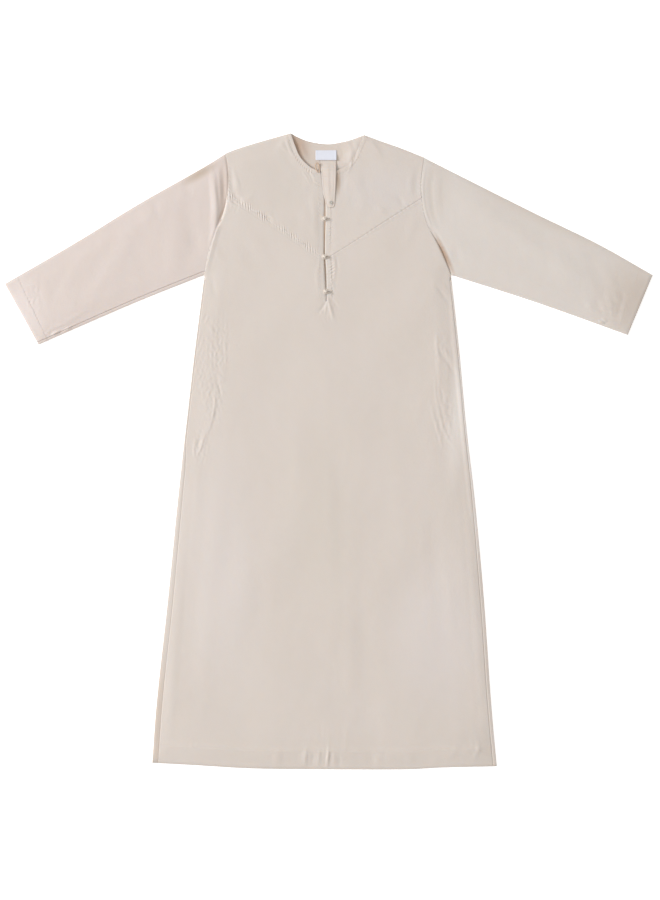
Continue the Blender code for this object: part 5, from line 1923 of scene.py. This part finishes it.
class Studio:
    """Floor, lights and camera, straight above the robe as in the picture."""

    distance = 4.3
    half_height = 1.035
    middle = (0.003, 0.0028)

    def build(self) -> None:
        """Set up the whole studio."""
        self.make_floor()
        self.make_lights()
        self.make_camera()

    def make_floor(self) -> None:
        """Lay the plain floor."""
        mesh = bpy.data.meshes.new("floor")
        half = 6.0
        corners = [(-half, -half, 0.0), (half, -half, 0.0), (half, half, 0.0), (-half, half, 0.0)]
        mesh.from_pydata(corners, [], [(0, 1, 2, 3)])
        floor = bpy.data.objects.new("floor", mesh)
        floor.location.z = -0.0002
        mesh.materials.append(FloorFinish().material())
        bpy.context.scene.collection.objects.link(floor)

    def make_lights(self) -> None:
        """Light the robe softly, a little more from the upper left."""
        world = bpy.data.worlds.new("studio_world")
        world.use_nodes = True
        background = world.node_tree.nodes["Background"]
        background.inputs["Color"].default_value = (1.0, 0.965, 0.925, 1.0)
        background.inputs["Strength"].default_value = 0.55
        bpy.context.scene.world = world
        for name, spot, size, power, colour in (
            ("key", (-9.0, 2.2, 4.8), 4.2, 990.0, (0.985, 1.0, 1.02)),
            ("top", (0.3, -0.3, 4.8), 3.0, 30.0, (0.99, 1.0, 1.02)),
        ):
            light = bpy.data.lights.new(name, "AREA")
            light.shape = "DISK"
            light.size = size
            light.energy = power
            light.color = colour
            lamp = bpy.data.objects.new(name, light)
            lamp.location = spot
            lamp.rotation_euler = Vector(spot).to_track_quat("Z", "Y").to_euler()
            bpy.context.scene.collection.objects.link(lamp)
        bpy.context.scene.view_settings.view_transform = "Standard"

    def make_camera(self) -> None:
        """Place the camera so that the picture's height covers the robe as in the photo."""
        lens = bpy.data.cameras.new("camera")
        lens.sensor_fit = "VERTICAL"
        lens.angle = 2.0 * math.atan(self.half_height / self.distance)
        lens.clip_end = 50.0
        camera = bpy.data.objects.new("camera", lens)
        camera.location = (*self.middle, self.distance)
        bpy.context.scene.collection.objects.link(camera)
        bpy.context.scene.camera = camera


BAG_LEFT = (
    BagRow(300, 262), BagRow(267, 239), BagRow(220, 239), BagRow(175, 241), BagRow(130, 254), BagRow(85, 264),
    BagRow(40, 280), BagRow(-5, 298),
)
BAG_RIGHT = (
    BagRow(292, 254), BagRow(267, 248), BagRow(220, 248), BagRow(175, 256), BagRow(130, 257), BagRow(85, 264),
    BagRow(45, 274), BagRow(10, 284),
)


class Robe:
    """The whole robe."""

    def build(self) -> None:
        """Make every piece."""
        BackPanel().build()
        FrontPanel().build()
        Yoke("yoke_left", True).build()
        Yoke("yoke_right", False).build()
        left = Sleeve(
            "sleeve_left", SLEEVE_LEFT_TOP, SLEEVE_LEFT_FOOT, ARMHOLE_LEFT, outwards=-1.0,
            material=SLEEVE_COTTON_LEFT, tuck=(0.1, 1.3), seam_step=1.9, tuck_level=535.0, cuff_rise=0.4,
        )
        right = Sleeve(
            "sleeve_right", SLEEVE_RIGHT_TOP, SLEEVE_RIGHT_FOOT, ARMHOLE_RIGHT, outwards=1.0,
            material=SLEEVE_COTTON_RIGHT, tuck=(1.5, 0.1), seam_step=0.15, tuck_level=470.0, cuff_rise=0.1,
        )
        left.build()
        right.build()
        left_band = Placket("placket_left", SLIT_LEFT, -1.0, 642.0, 0.34)
        right_band = Placket("placket_right", SLIT_RIGHT, 1.0, 640.5, 0.5)
        left_band.build()
        right_band.build()
        PocketBag("pocket_bag_left", BAG_LEFT, 1.0).build()
        PocketBag("pocket_bag_right", BAG_RIGHT, -1.0).build()
        NeckTab().build()
        NeckLoop().build()
        NeckLabel().build()
        for number, (x, y) in enumerate(((-10, 534), (-10, 447), (-7, 367)), start=1):
            beside = RELIEF.top(np.array([x - 6.0, x + 8.0]), np.array([y, y]))
            BallButton(number, x, y, float(beside.max()) + 0.6).build()
        self.sew_all(left, right, left_band, right_band)

    def sew_all(self, left: Sleeve, right: Sleeve, left_band: Placket, right_band: Placket) -> None:
        """Sew the hems, the cuffs, the plackets and the neckline."""
        front = FrontPanel()
        plain = Yoke("yoke_left", True).rise + 0.1

        def on_yoke(x: np.ndarray, y: np.ndarray) -> np.ndarray:
            """Return the height that the neckline's stitches lie at."""
            return RELIEF.top(x, y) + plain + 0.3

        sew("body_stitching", (
            StitchLine("hem", HEM_STITCH, front.outside),
            StitchLine("placket_left_outer", offset_run(BAND_LEFT, -2.2), left_band.face),
            StitchLine("placket_right_outer", offset_run(BAND_RIGHT, 2.2), right_band.face),
            StitchLine("neck_left", NECK_STITCH_LEFT, on_yoke),
            StitchLine("neck_right", NECK_STITCH_RIGHT, on_yoke),
        ))
        sew("cuff_stitching", (
            StitchLine("cuff_left", cuff_line(left), RELIEF.top),
            StitchLine("cuff_right", cuff_line(right), RELIEF.top),
        ))


def main() -> None:
    """Build the robe and the studio."""
    logging.basicConfig(level=logging.INFO, format="%(name)s: %(message)s")
    Robe().build()
    Studio().build()


if __name__ == "__main__":
    main()
